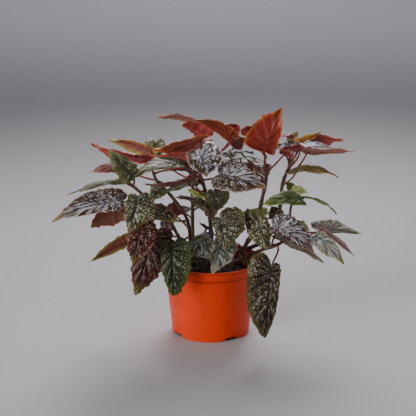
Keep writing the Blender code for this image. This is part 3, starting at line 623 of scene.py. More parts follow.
def block_at_foot(name, degrees, radius, height, size):
    """A block that faces outwards, this far round from the front of the pot and this far from its axis."""
    turn = math.radians(degrees)
    deselect_all()
    bpy.ops.mesh.primitive_cube_add(
        size=1,
        location=(radius * MM * math.sin(turn), -radius * MM * math.cos(turn), height * MM),
        rotation=(0, 0, turn),
        scale=[side * MM for side in size],
    )
    return added(name)


def join(pieces):
    select_only(*pieces)
    bpy.ops.object.join()
    return pieces[0]


def give_attribute(piece, name, values):
    """Numbers for a material to read, one or three for each point."""
    kind, key = ("FLOAT", "value") if values.ndim == 1 else ("FLOAT_VECTOR", "vector")
    attribute = piece.data.attributes.new(name, kind, "POINT")
    attribute.data.foreach_set(key, np.asarray(values, np.float32).ravel())


def mesh_points(piece):
    points = np.empty(len(piece.data.vertices) * 3, np.float32)
    piece.data.vertices.foreach_get("co", points)
    return points.reshape(-1, 3).astype(float)


def set_mesh_points(piece, points):
    piece.data.vertices.foreach_set("co", np.asarray(points, np.float32).ravel())
    piece.data.update()


def hand_over(piece, slot, *nodes):
    """The piece rides on the plant's one body and stands for these nodes, which it hides. The slot is not
    used.
    """
    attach(piece, "root")
    if nodes:
        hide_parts(*nodes)


def colour(name):
    return (*getattr(bpy.context.scene.begonia_colours, name), 1.0)


def new_material(name):
    """A material, the function below that adds a node to it, and its Principled shader."""
    material = bpy.data.materials.new(name)
    material.use_nodes = True
    return material, partial(add_node, material.node_tree), material.node_tree.nodes["Principled BSDF"]


def add_node(tree, kind, settings=None, inputs=None):
    """Adds a node with its settings by name, and with its inputs."""
    node = tree.nodes.new(kind)
    for key, value in (settings or {}).items():
        setattr(node, key, value)
    set_inputs(node, inputs or {})
    return node


def set_inputs(node, inputs):
    """Fills a node's inputs by name, or by number where names repeat. An input takes a plain value, a node,
    whose first output in use is linked, or one of its outputs."""
    sockets = [socket for socket in node.inputs if socket.enabled]
    for key, value in inputs.items():
        target = sockets[key] if isinstance(key, int) else next(s for s in sockets if s.name == key)
        if isinstance(value, bpy.types.Node):
            value = next(socket for socket in value.outputs if socket.enabled)
        if isinstance(value, bpy.types.NodeSocket):
            node.id_data.links.new(value, target)
        else:
            target.default_value = value


# Settings of nodes
SMOOTH = {"interpolation_type": "SMOOTHSTEP"}
RGBA = {"data_type": "RGBA"}
ADD, SUBTRACT, MULTIPLY, MULTIPLY_ADD, ABSOLUTE, MAXIMUM, PINGPONG = (
    {"operation": name} for name in "ADD SUBTRACT MULTIPLY MULTIPLY_ADD ABSOLUTE MAXIMUM PINGPONG".split()
)


# Materials


def blade_material(look_name, look, upper):
    """Living begonia blade, its upper or its under side. The upper side is silvered by air under its skin,
    in spots that the veins cut through. The under side is dull and reddish, and its veins stand proud."""
    _, add, shader = new_material(f"begonia_blade_{look_name}_{'upper' if upper else 'under'}")
    place = add("ShaderNodeAttribute", {"attribute_name": "place"}).outputs["Vector"]
    vein, edge, along, silvering, own_shade = (
        add("ShaderNodeAttribute", {"attribute_name": name}).outputs["Fac"]
        for name in ("vein", "edge", "along", "silvering", "shade")
    )
    across = add("ShaderNodeSeparateXYZ", inputs={0: place}).outputs["X"]

    # Patches some 12 mm across, and grain of about 1 mm
    patches = add("ShaderNodeTexNoise", inputs={"Vector": place, "Scale": 0.08, "Detail": 2.0})
    grain = add("ShaderNodeTexNoise", inputs={"Vector": place, "Scale": 0.9, "Detail": 3.0})

    # Side veins: the phase runs by 1 from one to the next, and they thin out towards the margin
    drift = add("ShaderNodeMath", MULTIPLY_ADD, {0: patches, 1: 0.25, 2: -0.125})
    phase = add("ShaderNodeMath", ADD, {0: vein, 1: drift})
    off_vein = add("ShaderNodeMath", PINGPONG, {0: phase, 1: 0.5})
    thinning = add("ShaderNodeMath", ADD, {0: edge, 1: 0.8})
    room = add("ShaderNodeMath", MULTIPLY, {0: off_vein, 1: thinning})
    side_veins = add("ShaderNodeMapRange", SMOOTH, {
        "Value": room, "From Min": 0.15 * look.vein_width / VEIN_ROOM,
        "From Max": 0.95 * look.vein_width / VEIN_ROOM, "To Min": 1.0, "To Max": 0.0,
    })
    off_rib = add("ShaderNodeMath", ABSOLUTE, {0: across})
    rib = add("ShaderNodeMapRange", SMOOTH, {
        "Value": off_rib, "From Min": 0.25 * look.vein_width, "From Max": look.vein_width,
        "To Min": 1.0, "To Max": 0.0,
    })
    veins = add("ShaderNodeMath", MAXIMUM, {0: side_veins, 1: rib})
    between = add("ShaderNodeMath", SUBTRACT, {0: 1.0, 1: veins})

    # Spots, one to a cell, with ragged edges
    spread = (1 / (look.spot * look.stretch), 1 / look.spot, 1.0)
    scaled = add("ShaderNodeVectorMath", MULTIPLY, {0: place, 1: spread})
    shaken = add("ShaderNodeVectorMath", MULTIPLY_ADD, {
        0: grain.outputs["Color"], 1: (0.2, 0.2, 0.0), 2: scaled,
    })
    cells = add("ShaderNodeTexVoronoi", {"voronoi_dimensions": "2D"}, {
        "Vector": shaken, "Scale": 1.0, "Randomness": 0.88,
    })
    cover = add("ShaderNodeMath", MULTIPLY_ADD, {0: patches, 1: 0.35, 2: -0.175})
    cover = add("ShaderNodeMath", ADD, {0: cover, 1: silvering})
    inside = add("ShaderNodeMath", SUBTRACT, {0: cover, 1: cells.outputs["Distance"]})
    spots = add("ShaderNodeMapRange", SMOOTH, {"Value": inside, "From Min": -0.06, "From Max": 0.06})
    spots = add("ShaderNodeMath", MULTIPLY, {0: spots, 1: between})
    strength = add("ShaderNodeMapRange", inputs={
        "Value": cells.outputs["Color"], "To Min": 0.4 if upper else 0.1, "To Max": 1.0 if upper else 0.3,
    })
    spots_seen = add("ShaderNodeMath", MULTIPLY, {0: spots, 1: strength})

    # Rim and tip
    rim_reach = add("ShaderNodeMath", MULTIPLY_ADD, {0: grain, 1: 0.08, 2: edge})
    rim = add("ShaderNodeMapRange", SMOOTH, {
        "Value": rim_reach, "From Min": look.rim_from, "From Max": 1.04, "To Max": 0.9,
    })
    tip = add("ShaderNodeMapRange", SMOOTH, {
        "Value": along, "From Min": 0.7, "From Max": 1.05, "To Max": 0.8,
    })

    ground, lines = (look.ground, look.veins) if upper else (look.back, look.back_veins)
    skin = colour(ground)
    for share, name in ((spots_seen, look.spots), (veins, lines), (tip, look.tip), (rim, look.rim)):
        skin = add("ShaderNodeMix", RGBA, {"Factor": share, "A": skin, "B": colour(name)})
    shade = add("ShaderNodeMapRange", inputs={
        "Value": patches, "From Min": 0.3, "From Max": 0.7, "To Min": 0.7, "To Max": 1.25,
    })
    # The blade is darkest along its midrib
    outward = add("ShaderNodeMapRange", inputs={"Value": edge, "To Min": 0.78, "To Max": 1.12})
    # Each leaf's own factor: partly its tone, partly painted light and shade
    for factor in (outward, own_shade):
        shade = add("ShaderNodeMath", MULTIPLY, {0: shade, 1: factor})
    toned = add("ShaderNodeHueSaturation", inputs={"Color": skin, "Value": shade})

    # Spots and the skin between the veins stand proud on top, and the veins stand proud below
    quilt = add("ShaderNodeMath", MULTIPLY_ADD, {
        0: spots, 1: 0.5 if upper else 0.1, 2: between if upper else veins,
    })
    relief = add("ShaderNodeMath", MULTIPLY_ADD, {0: grain, 1: 0.4, 2: quilt})
    bump = add("ShaderNodeBump", inputs={"Height": relief, "Strength": 0.8, "Distance": 0.8 * MM})
    gloss = add("ShaderNodeMapRange", inputs={
        "Value": spots, "To Min": look.roughness + 0.08, "To Max": look.roughness - 0.05,
    })
    set_inputs(shader, {
        "Base Color": toned, "Normal": bump, "Roughness": gloss, "IOR": 1.45, "Specular IOR Level": 0.35,
        "Subsurface Weight": 0.35, "Subsurface Radius": (1.0, 0.5, 0.25), "Subsurface Scale": 0.8 * MM,
    })


def stalk_material(name):
    """Begonia leaf stalk: a fleshy, juicy stem with a thin skin, glossy and mottled from red to brown."""
    _, add, shader = new_material(f"begonia_stalk_{name}")
    place = add("ShaderNodeTexCoord").outputs["Object"]
    # Mottling of about 4 mm
    mottle = add("ShaderNodeTexNoise", inputs={"Vector": place, "Scale": 250.0, "Detail": 3.0})
    shade = add("ShaderNodeMapRange", inputs={
        "Value": mottle, "From Min": 0.3, "From Max": 0.7, "To Max": 0.7,
    })
    dark = colour("umber" if name == "brown" else "oxblood")
    skin = add("ShaderNodeMix", RGBA, {"Factor": shade, "A": colour(name), "B": dark})
    bump = add("ShaderNodeBump", inputs={"Height": mottle, "Strength": 0.3, "Distance": 0.3 * MM})
    set_inputs(shader, {"Base Color": skin, "Normal": bump, "Roughness": 0.38, "IOR": 1.42})


def cane_material():
    """Begonia cane: a smooth green skin that corks over to brown, ringed and specked where it has."""
    material, add, shader = new_material("begonia_cane_skin")
    place = add("ShaderNodeTexCoord").outputs["Object"]
    ring, green = (
        add("ShaderNodeAttribute", {"attribute_name": name}).outputs["Fac"] for name in ("ring", "green")
    )
    # Streaks that run up the cane, 2 mm wide and 8 mm long, and specks of 1 mm
    lengthened = add("ShaderNodeMapping", inputs={"Vector": place, "Scale": (1.0, 1.0, 0.25)})
    streaks = add("ShaderNodeTexNoise", inputs={"Vector": lengthened, "Scale": 480.0, "Detail": 3.0})
    streak = add("ShaderNodeMapRange", inputs={
        "Value": streaks, "From Min": 0.35, "From Max": 0.65, "To Max": 0.7,
    })
    specks = add("ShaderNodeTexVoronoi", inputs={"Vector": place, "Scale": 600.0}).outputs["Distance"]
    # The scar round a node is a pale ring about 1 mm to each side, in dark cork
    speck, cork, scar = (
        add("ShaderNodeMapRange", SMOOTH, {
            "Value": value, "From Min": inner, "From Max": outer, "To Min": most, "To Max": 0.0,
        })
        for value, inner, outer, most in (
            (specks, 0.15, 0.3, 0.6), (ring, 1.0, 3.5, 0.6), (ring, 0.5, 1.1, 0.8),
        )
    )
    skin = colour("cane")
    for share, name in (
        (green, "cane_green"), (streak, "umber"), (speck, "cane_scar"), (cork, "black_brown"),
        (scar, "cane_scar"),
    ):
        skin = add("ShaderNodeMix", RGBA, {"Factor": share, "A": skin, "B": colour(name)})
    bump = add("ShaderNodeBump", inputs={"Height": streaks, "Strength": 0.6, "Distance": 0.4 * MM})
    set_inputs(shader, {"Base Color": skin, "Normal": bump, "Roughness": 0.5})
    return material


def pot_material():
    """Injection-moulded polypropylene: a waxy satin skin with a faint orange peel and duller scuffs."""
    material, add, shader = new_material("moulded_polypropylene_orange")
    place = add("ShaderNodeTexCoord").outputs["Object"]
    # Orange peel of about 1.5 mm, clouds of 40 mm in the colour, and scuffs of 10 mm
    peel = add("ShaderNodeTexNoise", inputs={"Vector": place, "Scale": 700.0, "Detail": 2.0})
    clouds = add("ShaderNodeTexNoise", inputs={"Vector": place, "Scale": 25.0, "Detail": 2.0})
    scuffs = add("ShaderNodeTexNoise", inputs={"Vector": place, "Scale": 100.0, "Detail": 6.0})
    shade = add("ShaderNodeMapRange", inputs={
        "Value": clouds, "From Min": 0.3, "From Max": 0.7, "To Min": 0.92, "To Max": 1.04,
    })
    # Painted shade under the band and under the lip, where the overhang shades the wall: the height of each
    # line, how far it fades out above and below, and how light it leaves the plastic
    sizes = bpy.context.scene.begonia_pot
    height = add("ShaderNodeSeparateXYZ", inputs={"Vector": place}).outputs["Z"]
    shade_under_band = (sizes.height - sizes.band - 1.2 * MM, 2.6 * MM, 0.56)
    shade_under_lip = (sizes.height - 3.2 * MM, 1.5 * MM, 0.68)
    for at, reach, lightness in (shade_under_band, shade_under_lip):
        off = add("ShaderNodeMath", SUBTRACT, {0: height, 1: at})
        away = add("ShaderNodeMath", ABSOLUTE, {0: off})
        line = add("ShaderNodeMapRange", SMOOTH, {"Value": away, "From Max": reach, "To Min": lightness})
        shade = add("ShaderNodeMath", MULTIPLY, {0: shade, 1: line})
    tint = add("ShaderNodeHueSaturation", inputs={"Color": colour("plastic"), "Value": shade})
    gloss = add("ShaderNodeMapRange", inputs={
        "Value": scuffs, "From Min": 0.35, "From Max": 0.65, "To Min": 0.4, "To Max": 0.52,
    })
    bump = add("ShaderNodeBump", inputs={"Height": peel, "Strength": 0.15, "Distance": 0.1 * MM})
    set_inputs(shader, {
        "Base Color": tint, "Normal": bump, "Roughness": gloss, "IOR": 1.49, "Specular IOR Level": 0.3,
    })
    return material


def mix_material(name, ground, dry, roughness):
    """Peat-based potting mix: black and fibrous where damp, paler where it has dried, and never glossy."""
    material, add, shader = new_material(name)
    place = add("ShaderNodeTexCoord").outputs["Object"]
    # Crumbs of 2 mm, and dry patches of 15 mm
    crumbs = add("ShaderNodeTexNoise", inputs={"Vector": place, "Scale": 500.0, "Detail": 6.0})
    patches = add("ShaderNodeTexNoise", inputs={"Vector": place, "Scale": 65.0, "Detail": 3.0})
    mixed = add("ShaderNodeMath", MULTIPLY, {0: crumbs, 1: patches})
    dryness = add("ShaderNodeMapRange", SMOOTH, {"Value": mixed, "From Min": 0.22, "From Max": 0.42})
    peat = add("ShaderNodeMix", RGBA, {"Factor": dryness, "A": colour(ground), "B": colour(dry)})
    bump = add("ShaderNodeBump", inputs={"Height": crumbs, "Strength": 1.0, "Distance": 0.8 * MM})
    set_inputs(shader, {"Base Color": peat, "Normal": bump, "Roughness": roughness})
    return material


# Shapes


def curve_through(table, at):
    """Points on the smooth curve through the rows of a table, with at from 0 to 1."""
    table = np.array(table, float)
    place = np.clip(np.atleast_1d(at), 0, 1) * (len(table) - 1)
    i = np.minimum(place.astype(int), len(table) - 2)
    t = (place - i)[:, None]
    before, start, end, after = (table[np.clip(i + k, 0, len(table) - 1)] for k in (-1, 0, 1, 2))
    bend = 2 * before - 5 * start + 4 * end - after
    twist = 3 * start - before - 3 * end + after
    return 0.5 * (2 * start + (end - before) * t + bend * t**2 + twist * t**3)


def cane_line(points, steps_a_span=2):
    """The middle line of a cane: straight up out of the mix, then on through its points."""
    x, y, _ = points[0]
    above = curve_through(points, np.linspace(0, 1, steps_a_span * (len(points) - 1) + 1))
    return [Vector((x, y, CANE_FOOT)), Vector((x, y, SOIL_TOP + 3))] + [Vector(p) for p in above]


def cane_seat(name, height, towards):
    """Where a stalk meets a cane at this height: the place on its surface, and the way out of it and up."""
    cane = next(cane for cane in CANES if cane.name == name)
    line = cane_line(cane.points)
    for i, (low, high) in enumerate(zip(line, line[1:])):
        if low.z <= height <= high.z:
            share = (height - low.z) / (high.z - low.z)
            centre = low.lerp(high, share)
            up = (high - low).normalized()
            out = towards - centre
            out = (out - out.dot(up) * up).normalized()
            radius = cane.foot + (cane.top - cane.foot) * (i + share) / (len(line) - 1)
            return centre + out * (radius + GAP), out, up
    raise ValueError(f"{name} has no point at a height of {height}")


class Blade:
    """A leaf blade as a surface over columns and rows, in millimetres. The columns run from -1 at one margin
    to 1 at the other, and the rows from 0 at the base to 1 at the tip."""

    STALK_SPAN = 2.5  # the most of the midrib that the rows at the stalk start from
    FULL_TEETH, FULL_PUCKER = 60, 50  # lengths at which a blade's teeth and puckers have their full size
    VEIN_BOW = 0.04  # of the side veins, as a share of half the width
    RUFFLES = 19  # radians of the margin's wave from the base to the tip
    GROOVE_DEPTH, GROOVE_REACH = 0.35, 1.1  # of the groove along the midrib
    DROOP = 0.05  # how far the tip may hang or lift, as a share of the length
    CRINKLE = 0.22  # crinkles to a millimetre

    def __init__(self, leaf):
        self.look = LOOKS[leaf.look]
        self.arch, self.rise, self.lean, self.lobe, *taper = leaf.form
        self.taper = taper[0] if taper else 1.0
        self.junction = Vector(leaf.junction)
        self.length = (Vector(leaf.tip) - self.junction).length
        self.along = (Vector(leaf.tip) - self.junction).normalized()
        face = Vector(leaf.face)
        self.out = (face - face.dot(self.along) * self.along).normalized()
        self.across = self.along.cross(self.out)
        self.width = leaf.width
        self.veins = min(MOST_VEINS, max(FEWEST_VEINS, round(self.length / VEIN_ROOM)))
        draws = random.Random(leaf.name)
        self.phase = draws.uniform(0, math.tau)
        self.wave = draws.uniform(0.5, 1.0)
        self.bend = draws.uniform(-1.0, 1.0)
        self.curl = draws.uniform(0.02, 0.07)
        self.tone = draws.uniform(0, 100)
        self.silver_side, self.silver_and_sheen_gain = SILVER_AND_PAINTED_SHEEN.get(leaf.name, (draws.choice((-1, 1)), 0.04))
        # Partly the leaf's own tone, partly painted light and shade
        self.shade = LEAF_TONE_AND_PAINTED_LIGHT.get(leaf.name, 1.0)

    def flat(self, columns, rows):
        """Across and along the blade laid flat, with its toothed margin."""
        side = np.where(columns < 0, -1.0, 1.0)
        share = np.abs(columns)
        half = self.width / 2 * (1 + side * self.lean)
        lobe = self.lobe * self.length * np.maximum(1 + side * self.lean, 0.4)
        across, along, back = curve_through(MARGIN, rows).T
        across = np.where(rows > WIDEST_ROW, np.maximum(across, 0) ** self.taper, across)
        edge_x = side * np.maximum(across * half, TIP_WIDTH / 2)
        edge_y = along * self.length - back * lobe
        stalk = min(self.STALK_SPAN, 0.12 * self.length)
        onward = np.clip((rows - STALK_ROW) / (1 - STALK_ROW), 0, 1)
        beyond = stalk + (self.length - stalk) * onward**VEIN_SWEEP
        rib = np.where(rows < STALK_ROW, rows / STALK_ROW * stalk, beyond)
        # A large tooth at the end of each side vein, one between them, and small ones on both
        phase = rows * self.veins
        calm = np.clip(4 * np.sin(math.pi * rows), 0, 1)
        size = self.look.teeth * bpy.context.scene.begonia_leaves.teeth
        size *= min(1.0, 0.3 + self.length / self.FULL_TEETH)
        cut = 0.5 * (-phase % 1.0) + 0.4 * (-2 * phase % 1.0) + 0.2 * (-4 * phase % 1.0)
        uneven = 0.7 + 0.5 * np.sin(self.phase + 9 * rows + 3 * side) ** 2
        tooth = calm * size * (uneven * cut - 0.45) * share**6
        run = np.hypot(edge_x, edge_y - rib) + 1e-6
        x = edge_x * share + tooth * edge_x / run
        y = rib + (edge_y - rib) * share + tooth * (edge_y - rib) / run
        # The side veins leave the midrib squarely, then bend towards the tip
        y -= 4 * self.VEIN_BOW * half * share * (1 - share) * calm
        return x, y

    def height(self, columns, rows, x, y):
        """How far the blade stands off its own plane."""
        share = np.abs(columns)
        t = y / self.length
        arch = 4 * self.arch * np.where(t > 0, t * (1 - t), t)
        fold = self.rise * (np.sqrt(x**2 + 1) - 1)
        cup = -self.curl * self.width * share**3
        ruffle = np.sin(self.phase + self.RUFFLES * rows + 2 * columns)
        ruffle *= self.wave * self.look.pucker * share**3
        pucker = self.look.pucker * bpy.context.scene.begonia_leaves.pucker
        pucker *= min(1.0, self.length / self.FULL_PUCKER)
        calm = np.clip(6 * np.sin(math.pi * np.clip(rows, 0, 1)), 0, 1)
        quilt = pucker * np.abs(np.sin(math.pi * rows * self.veins)) ** 0.8 * np.minimum(1, 5 * share)
        quilt *= (1 - 0.7 * share**5) * calm
        groove = -self.GROOVE_DEPTH * np.exp(-((x / self.GROOVE_REACH) ** 2))
        hang = 4 * self.DROOP * self.bend * self.length * np.clip(t - 0.5, 0, 1) ** 2
        return arch + fold + cup + ruffle + quilt + groove + hang

    def crinkles(self, x, y):
        """Rises and dips a few millimetres across."""
        places = zip(self.CRINKLE * x, self.CRINKLE * y)
        rises = [noise.noise(Vector((a, b, self.tone))) for a, b in places]
        return 0.6 * self.look.pucker * np.array(rises)

    def places(self, columns, rows):
        """The blade's points in the plant, and the numbers that its materials read."""
        x, y = self.flat(columns, rows)
        z = self.height(columns, rows, x, y) + self.crinkles(x, y)
        points = (
            np.array(self.junction)
            + np.outer(x, self.across)
            + np.outer(y, self.along)
            + np.outer(z, self.out)
        )
        phase = rows * self.veins
        # Extra silver on one half: a painted sheen on leaves in the table, a small random difference
        # elsewhere
        toward = np.clip(self.silver_side * columns * 3, -1, 1)
        # Spots are largest about the midrib, and small at the margin
        heart = 0.5 - np.abs(columns) ** 1.5
        return points, {
            "place": np.stack([x, (phase + self.tone) * VEIN_ROOM, np.zeros_like(x)], axis=1),
            "vein": phase,
            "edge": np.abs(columns),
            "along": np.clip(y / self.length, 0, 1),
            "silvering": self.look.cover + self.silver_and_sheen_gain * toward + self.look.heart * heart,
            "shade": np.full_like(x, self.shade),
        }


def make_blade(leaf, blade):
    """A grid laid out as the blade, then given its thickness."""
    deselect_all()
    bpy.ops.mesh.primitive_grid_add(
        x_subdivisions=BLADE_COLUMNS, y_subdivisions=ROWS_A_VEIN * blade.veins, size=2
    )
    piece = added(leaf.name + "_blade")
    laid = mesh_points(piece)
    # The columns stand a little wider apart at the midrib than at the margin
    columns = np.sign(laid[:, 0]) * np.abs(laid[:, 0]) ** 0.85
    points, numbers = blade.places(columns, (laid[:, 1] + 1) / 2)
    set_mesh_points(piece, points * MM)
    for key, values in numbers.items():
        give_attribute(piece, key, values)
    for side in ("upper", "under"):
        piece.data.materials.append(bpy.data.materials[f"begonia_blade_{leaf.look}_{side}"])
    apply_modifier(piece, "SOLIDIFY", "Blade thickness", {
        "thickness": bpy.context.scene.begonia_leaves.thickness,
        "offset": 0.0,
        "material_offset": 1,
        "use_rim": True,
    })
    return piece


def make_stalk(leaf, blade):
    """One bent tube from under the blade into the side of the cane."""
    below, sunk = 0.3, 1.2  # where it starts under the blade, and where it ends inside the cane
    root_swell = 1.35  # how much thicker it is at the cane
    start = blade.junction - blade.out * below
    seat, out, up = cane_seat(leaf.cane, leaf.height, blade.junction)
    # It leaves the blade downwards and back, and meets the cane from outside and a little above
    leave = (seat - start).normalized() * 0.5 - blade.out * 0.8 - blade.along * 0.3
    leave -= blade.out * max(0.0, leave.dot(blade.out) + 0.4)
    handle = 0.3 * (seat - start).length
    deselect_all()
    bpy.ops.curve.primitive_bezier_curve_add()
    stalk = added(leaf.name + "_stalk")
    stalk.data.resolution_u = 16
    stalk.data.bevel_resolution = 2
    stalk.data.use_fill_caps = True
    stalk.data.bevel_depth = bpy.context.scene.begonia_leaves.stalk
    first, last = stalk.data.splines[0].bezier_points
    for point in (first, last):
        point.handle_left_type = point.handle_right_type = "FREE"
    end = seat - out * sunk
    first.co = first.handle_left = start * MM
    first.handle_right = (start + leave.normalized() * handle) * MM
    last.co = last.handle_right = end * MM
    last.handle_left = (end + (out * 0.9 + up * 0.35).normalized() * handle) * MM
    last.radius = root_swell
    bpy.ops.object.convert(target="MESH")
    stalk.data.materials.append(bpy.data.materials[f"begonia_stalk_{blade.look.stalk}"])
    return stalk


def make_leaf(leaf):
    blade = Blade(leaf)
    piece = join([make_blade(leaf, blade), make_stalk(leaf, blade)])
    tidy_mesh(piece)
    return piece


# Operators


class BEGONIA_OT_pot(bpy.types.Operator):
    """Turn the pot's wall on its axis and cut the gaps and the drain slots in its foot"""

    bl_idname = "begonia.pot"
    bl_label = "Pot"

    DRAINS = (-58.0, 32.0, 122.0, 212.0)  # degrees round from the front
    # Blocks that cut a gap in the foot and the slot above it: width, depth and twice the height
    GAP_BLOCK = (28.0, 11.0, 3.0)
    SLOT_BLOCK = (17.0, 14.0, 9.2)
    WORN = 0.25 * MM  # radius of its worn edges
    CRISP = 40  # degrees from which an edge of the pot isn't shaded smooth

    def profile(self):
        """Radius and height down the inside, round the lip and down the outside, in millimetres."""
        sizes = bpy.context.scene.begonia_pot
        height, lip, foot, band, wall = (
            getattr(sizes, name) / MM for name in ("height", "lip_radius", "foot_radius", "band", "wall")
        )
        shoulder = height - band
        inner_foot, inner_shoulder = foot - wall, lip - 6.1
        return (
            (0, 3.2), (inner_foot - 2.5, 3.2), (inner_foot - 0.6, 3.5), (inner_foot + 0.2, 4.6),
            (inner_shoulder - 0.15, shoulder - 1.6), (inner_shoulder + 0.5, shoulder - 0.6),
            (lip - 3.9, shoulder + 0.7), (lip - 2.9, height - 1.6), (lip - 2.3, height - 0.6),
            (lip - 1.7, height - 0.1), (lip - 1.1, height), (lip - 0.5, height - 0.15),
            (lip - 0.12, height - 0.5), (lip, height - 1.0), (lip - 0.1, height - 1.6),
            (lip - 0.5, height - 2.1), (lip - 1.2, height - 2.45), (lip - 1.62, height - 2.9),
            (lip - 1.7, height - 3.6), (lip - 2.35, shoulder + 1.4), (lip - 2.7, shoulder + 0.6),
            (lip - 3.5, shoulder + 0.15), (lip - 4.5, shoulder - 0.05), (lip - 4.95, shoulder - 0.6),
            (lip - 5.1, shoulder - 1.6), (foot + 0.15, 2.4), (foot, 1.0), (foot - 0.15, 0.3),
            (foot - 0.6, 0), (foot - 3.3, 0), (foot - 3.6, 0.2), (foot - 4.0, 1.6), (0, 1.6),
        )

    def execute(self, context):
        sizes = context.scene.begonia_pot
        pot = turned("pot_shell", self.profile(), sizes.sides, self.CRISP)
        for degrees in self.DRAINS:
            for size in (self.GAP_BLOCK, self.SLOT_BLOCK):
                cutter = block_at_foot("foot_cutter", degrees, sizes.foot_radius / MM, 0, size)
                apply_modifier(pot, "BOOLEAN", "Cut", {
                    "operation": "DIFFERENCE", "object": cutter, "solver": "EXACT",
                })
                bpy.data.objects.remove(cutter)
        apply_modifier(pot, "BEVEL", "Worn edges", {
            "width": self.WORN, "segments": 2, "limit_method": "ANGLE", "angle_limit": math.radians(50),
        })
        tidy_mesh(pot, self.CRISP)
        pot.data.materials.append(pot_material())
        hand_over(pot, "orange_plastic", "pot")
        return {"FINISHED"}


def lump_height(x, y):
    """How far the top of the mix stands above or below its turned shape here, in metres."""
    fade = min(1.0, (MIX_REACH * MM - math.hypot(x, y)) / (4 * MM))
    # Lumps of about 11 mm and 3 mm
    coarse = noise.noise(Vector((x * 90, y * 90, 0.5)))
    fine = noise.noise(Vector((x * 330, y * 330, 7.5)))
    return bpy.context.scene.begonia_mix.lump * (coarse + 0.5 * fine) * max(0.0, fade)


def mix_top(x, y):
    """Height of the top of the mix here, in metres."""
    share = math.hypot(x, y) / (MIX_REACH * MM)
    return (SOIL_TOP - (SOIL_TOP - SOIL_EDGE) * share**2) * MM + lump_height(x, y)


class BEGONIA_OT_mix(bpy.types.Operator):
    """Fill the pot with lumpy potting mix"""

    bl_idname = "begonia.mix"
    bl_label = "Potting mix"

    RINGS, SIDES = 26, 120
    FLARE = 8.45  # from the radius inside the pot's foot to the radius of the mix at its top
    UNDERSIDE = ((50.0, 6.0), (48.0, 4.0), (0, 4.0))  # radius and height, down its side and in under it
    # A lump of mix behind a drain slot: its width, depth and height, and where its middle is
    PLUG = (16.0, 4.0, 3.6)
    PLUG_RADIUS, PLUG_HEIGHT = 46.6, 2.4

    def execute(self, context):
        """The mix is turned as the pot is, then its top is raised into lumps."""
        pot = context.scene.begonia_pot
        rim = (pot.foot_radius - pot.wall) / MM + self.FLARE
        shares = [i / self.RINGS for i in range(self.RINGS + 1)]
        top = [(rim * share, SOIL_TOP - (SOIL_TOP - SOIL_EDGE) * share**2) for share in shares]
        mix = turned("mix", (*top, *self.UNDERSIDE), self.SIDES)
        points = mesh_points(mix)
        for point in points:
            point[2] += lump_height(point[0], point[1]) * (point[2] > (SOIL_EDGE - 0.5) * MM)
        set_mesh_points(mix, points)
        mix.data.materials.append(mix_material("peat_potting_mix", "mix", "mix_dry", 0.95))
        hand_over(mix, "potting_mix", "soil")
        hand_over(self.drain_plugs(), "potting_mix")
        return {"FINISHED"}

    def drain_plugs(self):
        """The mix that shows in the drain slots, one lump behind each."""
        plugs = []
        for number, degrees in enumerate(BEGONIA_OT_pot.DRAINS, 1):
            name = f"drain_plug_{number}"
            plug = block_at_foot(name, degrees, self.PLUG_RADIUS, self.PLUG_HEIGHT, self.PLUG)
            bpy.ops.object.mode_set(mode="EDIT")
            bpy.ops.mesh.select_all(action="SELECT")
            bpy.ops.mesh.subdivide(number_cuts=9)
            bpy.ops.object.mode_set(mode="OBJECT")
            place_mesh(plug)
            plugs.append(plug)
        plugs = rename(join(plugs), "mix_in_drains")
        # Crumbs of about 1 mm, that stand out by up to 0.3 mm
        crumbly = [p * (1 + 0.006 * noise.noise(Vector(p) * 900)) for p in mesh_points(plugs)]
        set_mesh_points(plugs, crumbly)
        tidy_mesh(plugs)
        plugs.data.materials.append(mix_material("peat_in_drains", "mix", "mix", 0.95))
        return plugs


class BEGONIA_OT_litter(bpy.types.Operator):
    """Scatter crumbs and bark chips over the mix"""

    bl_idname = "begonia.litter"
    bl_label = "Crumbs and bark"

    REACH = 54  # mm from the pot's axis

    def scatter(self, model, name, count, low, high, draws):
        """Copies of a model, each turned and sized at random between these millimetres, joined as one."""
        copies = []
        for _ in range(count):
            copy = bpy.data.objects.new(name, model.data.copy())
            bpy.context.scene.collection.objects.link(copy)
            away = self.REACH * MM * math.sqrt(draws.random())
            turn = draws.uniform(0, math.tau)
            x, y = away * math.sin(turn), away * math.cos(turn)
            size = draws.uniform(low, high) * MM
            copy.scale = [size * draws.uniform(0.7, 1.2) for _ in range(3)]
            copy.rotation_euler = [draws.uniform(0, math.tau) for _ in range(3)]
            copy.location = (x, y, mix_top(x, y) + 0.25 * size)
            copies.append(copy)
        bpy.data.objects.remove(model)
        piece = rename(join(copies), name)
        place_mesh(piece)
        return piece

    def execute(self, context):
        sizes = context.scene.begonia_mix
        draws = random.Random(sizes.seed)
        deselect_all()
        bpy.ops.mesh.primitive_ico_sphere_add(subdivisions=1, radius=1)
        crumb = added("crumb")
        set_mesh_points(crumb, [p * draws.uniform(0.6, 1.25) for p in mesh_points(crumb)])
        crumbs = self.scatter(crumb, "mix_crumbs", sizes.crumbs, 0.6, 2.2, draws)
        crumbs.data.materials.append(mix_material("peat_crumbs", "mix", "chip", 0.9))
        hand_over(crumbs, "potting_mix")
        deselect_all()
        bpy.ops.mesh.primitive_cube_add(size=2)
        chip = added("chip")
        chip.scale = (1.6, 0.9, 0.35)
        place_mesh(chip)
        apply_modifier(chip, "BEVEL", "Broken edges", {"width": 0.18, "segments": 1})
        set_mesh_points(chip, [p * draws.uniform(0.8, 1.15) for p in mesh_points(chip)])
        chips = self.scatter(chip, "bark_chips", sizes.chips, 0.9, 2.6, draws)
        chips.data.materials.append(mix_material("pine_bark_chips", "umber", "chip", 0.85))
        hand_over(chips, "potting_mix")
        return {"FINISHED"}


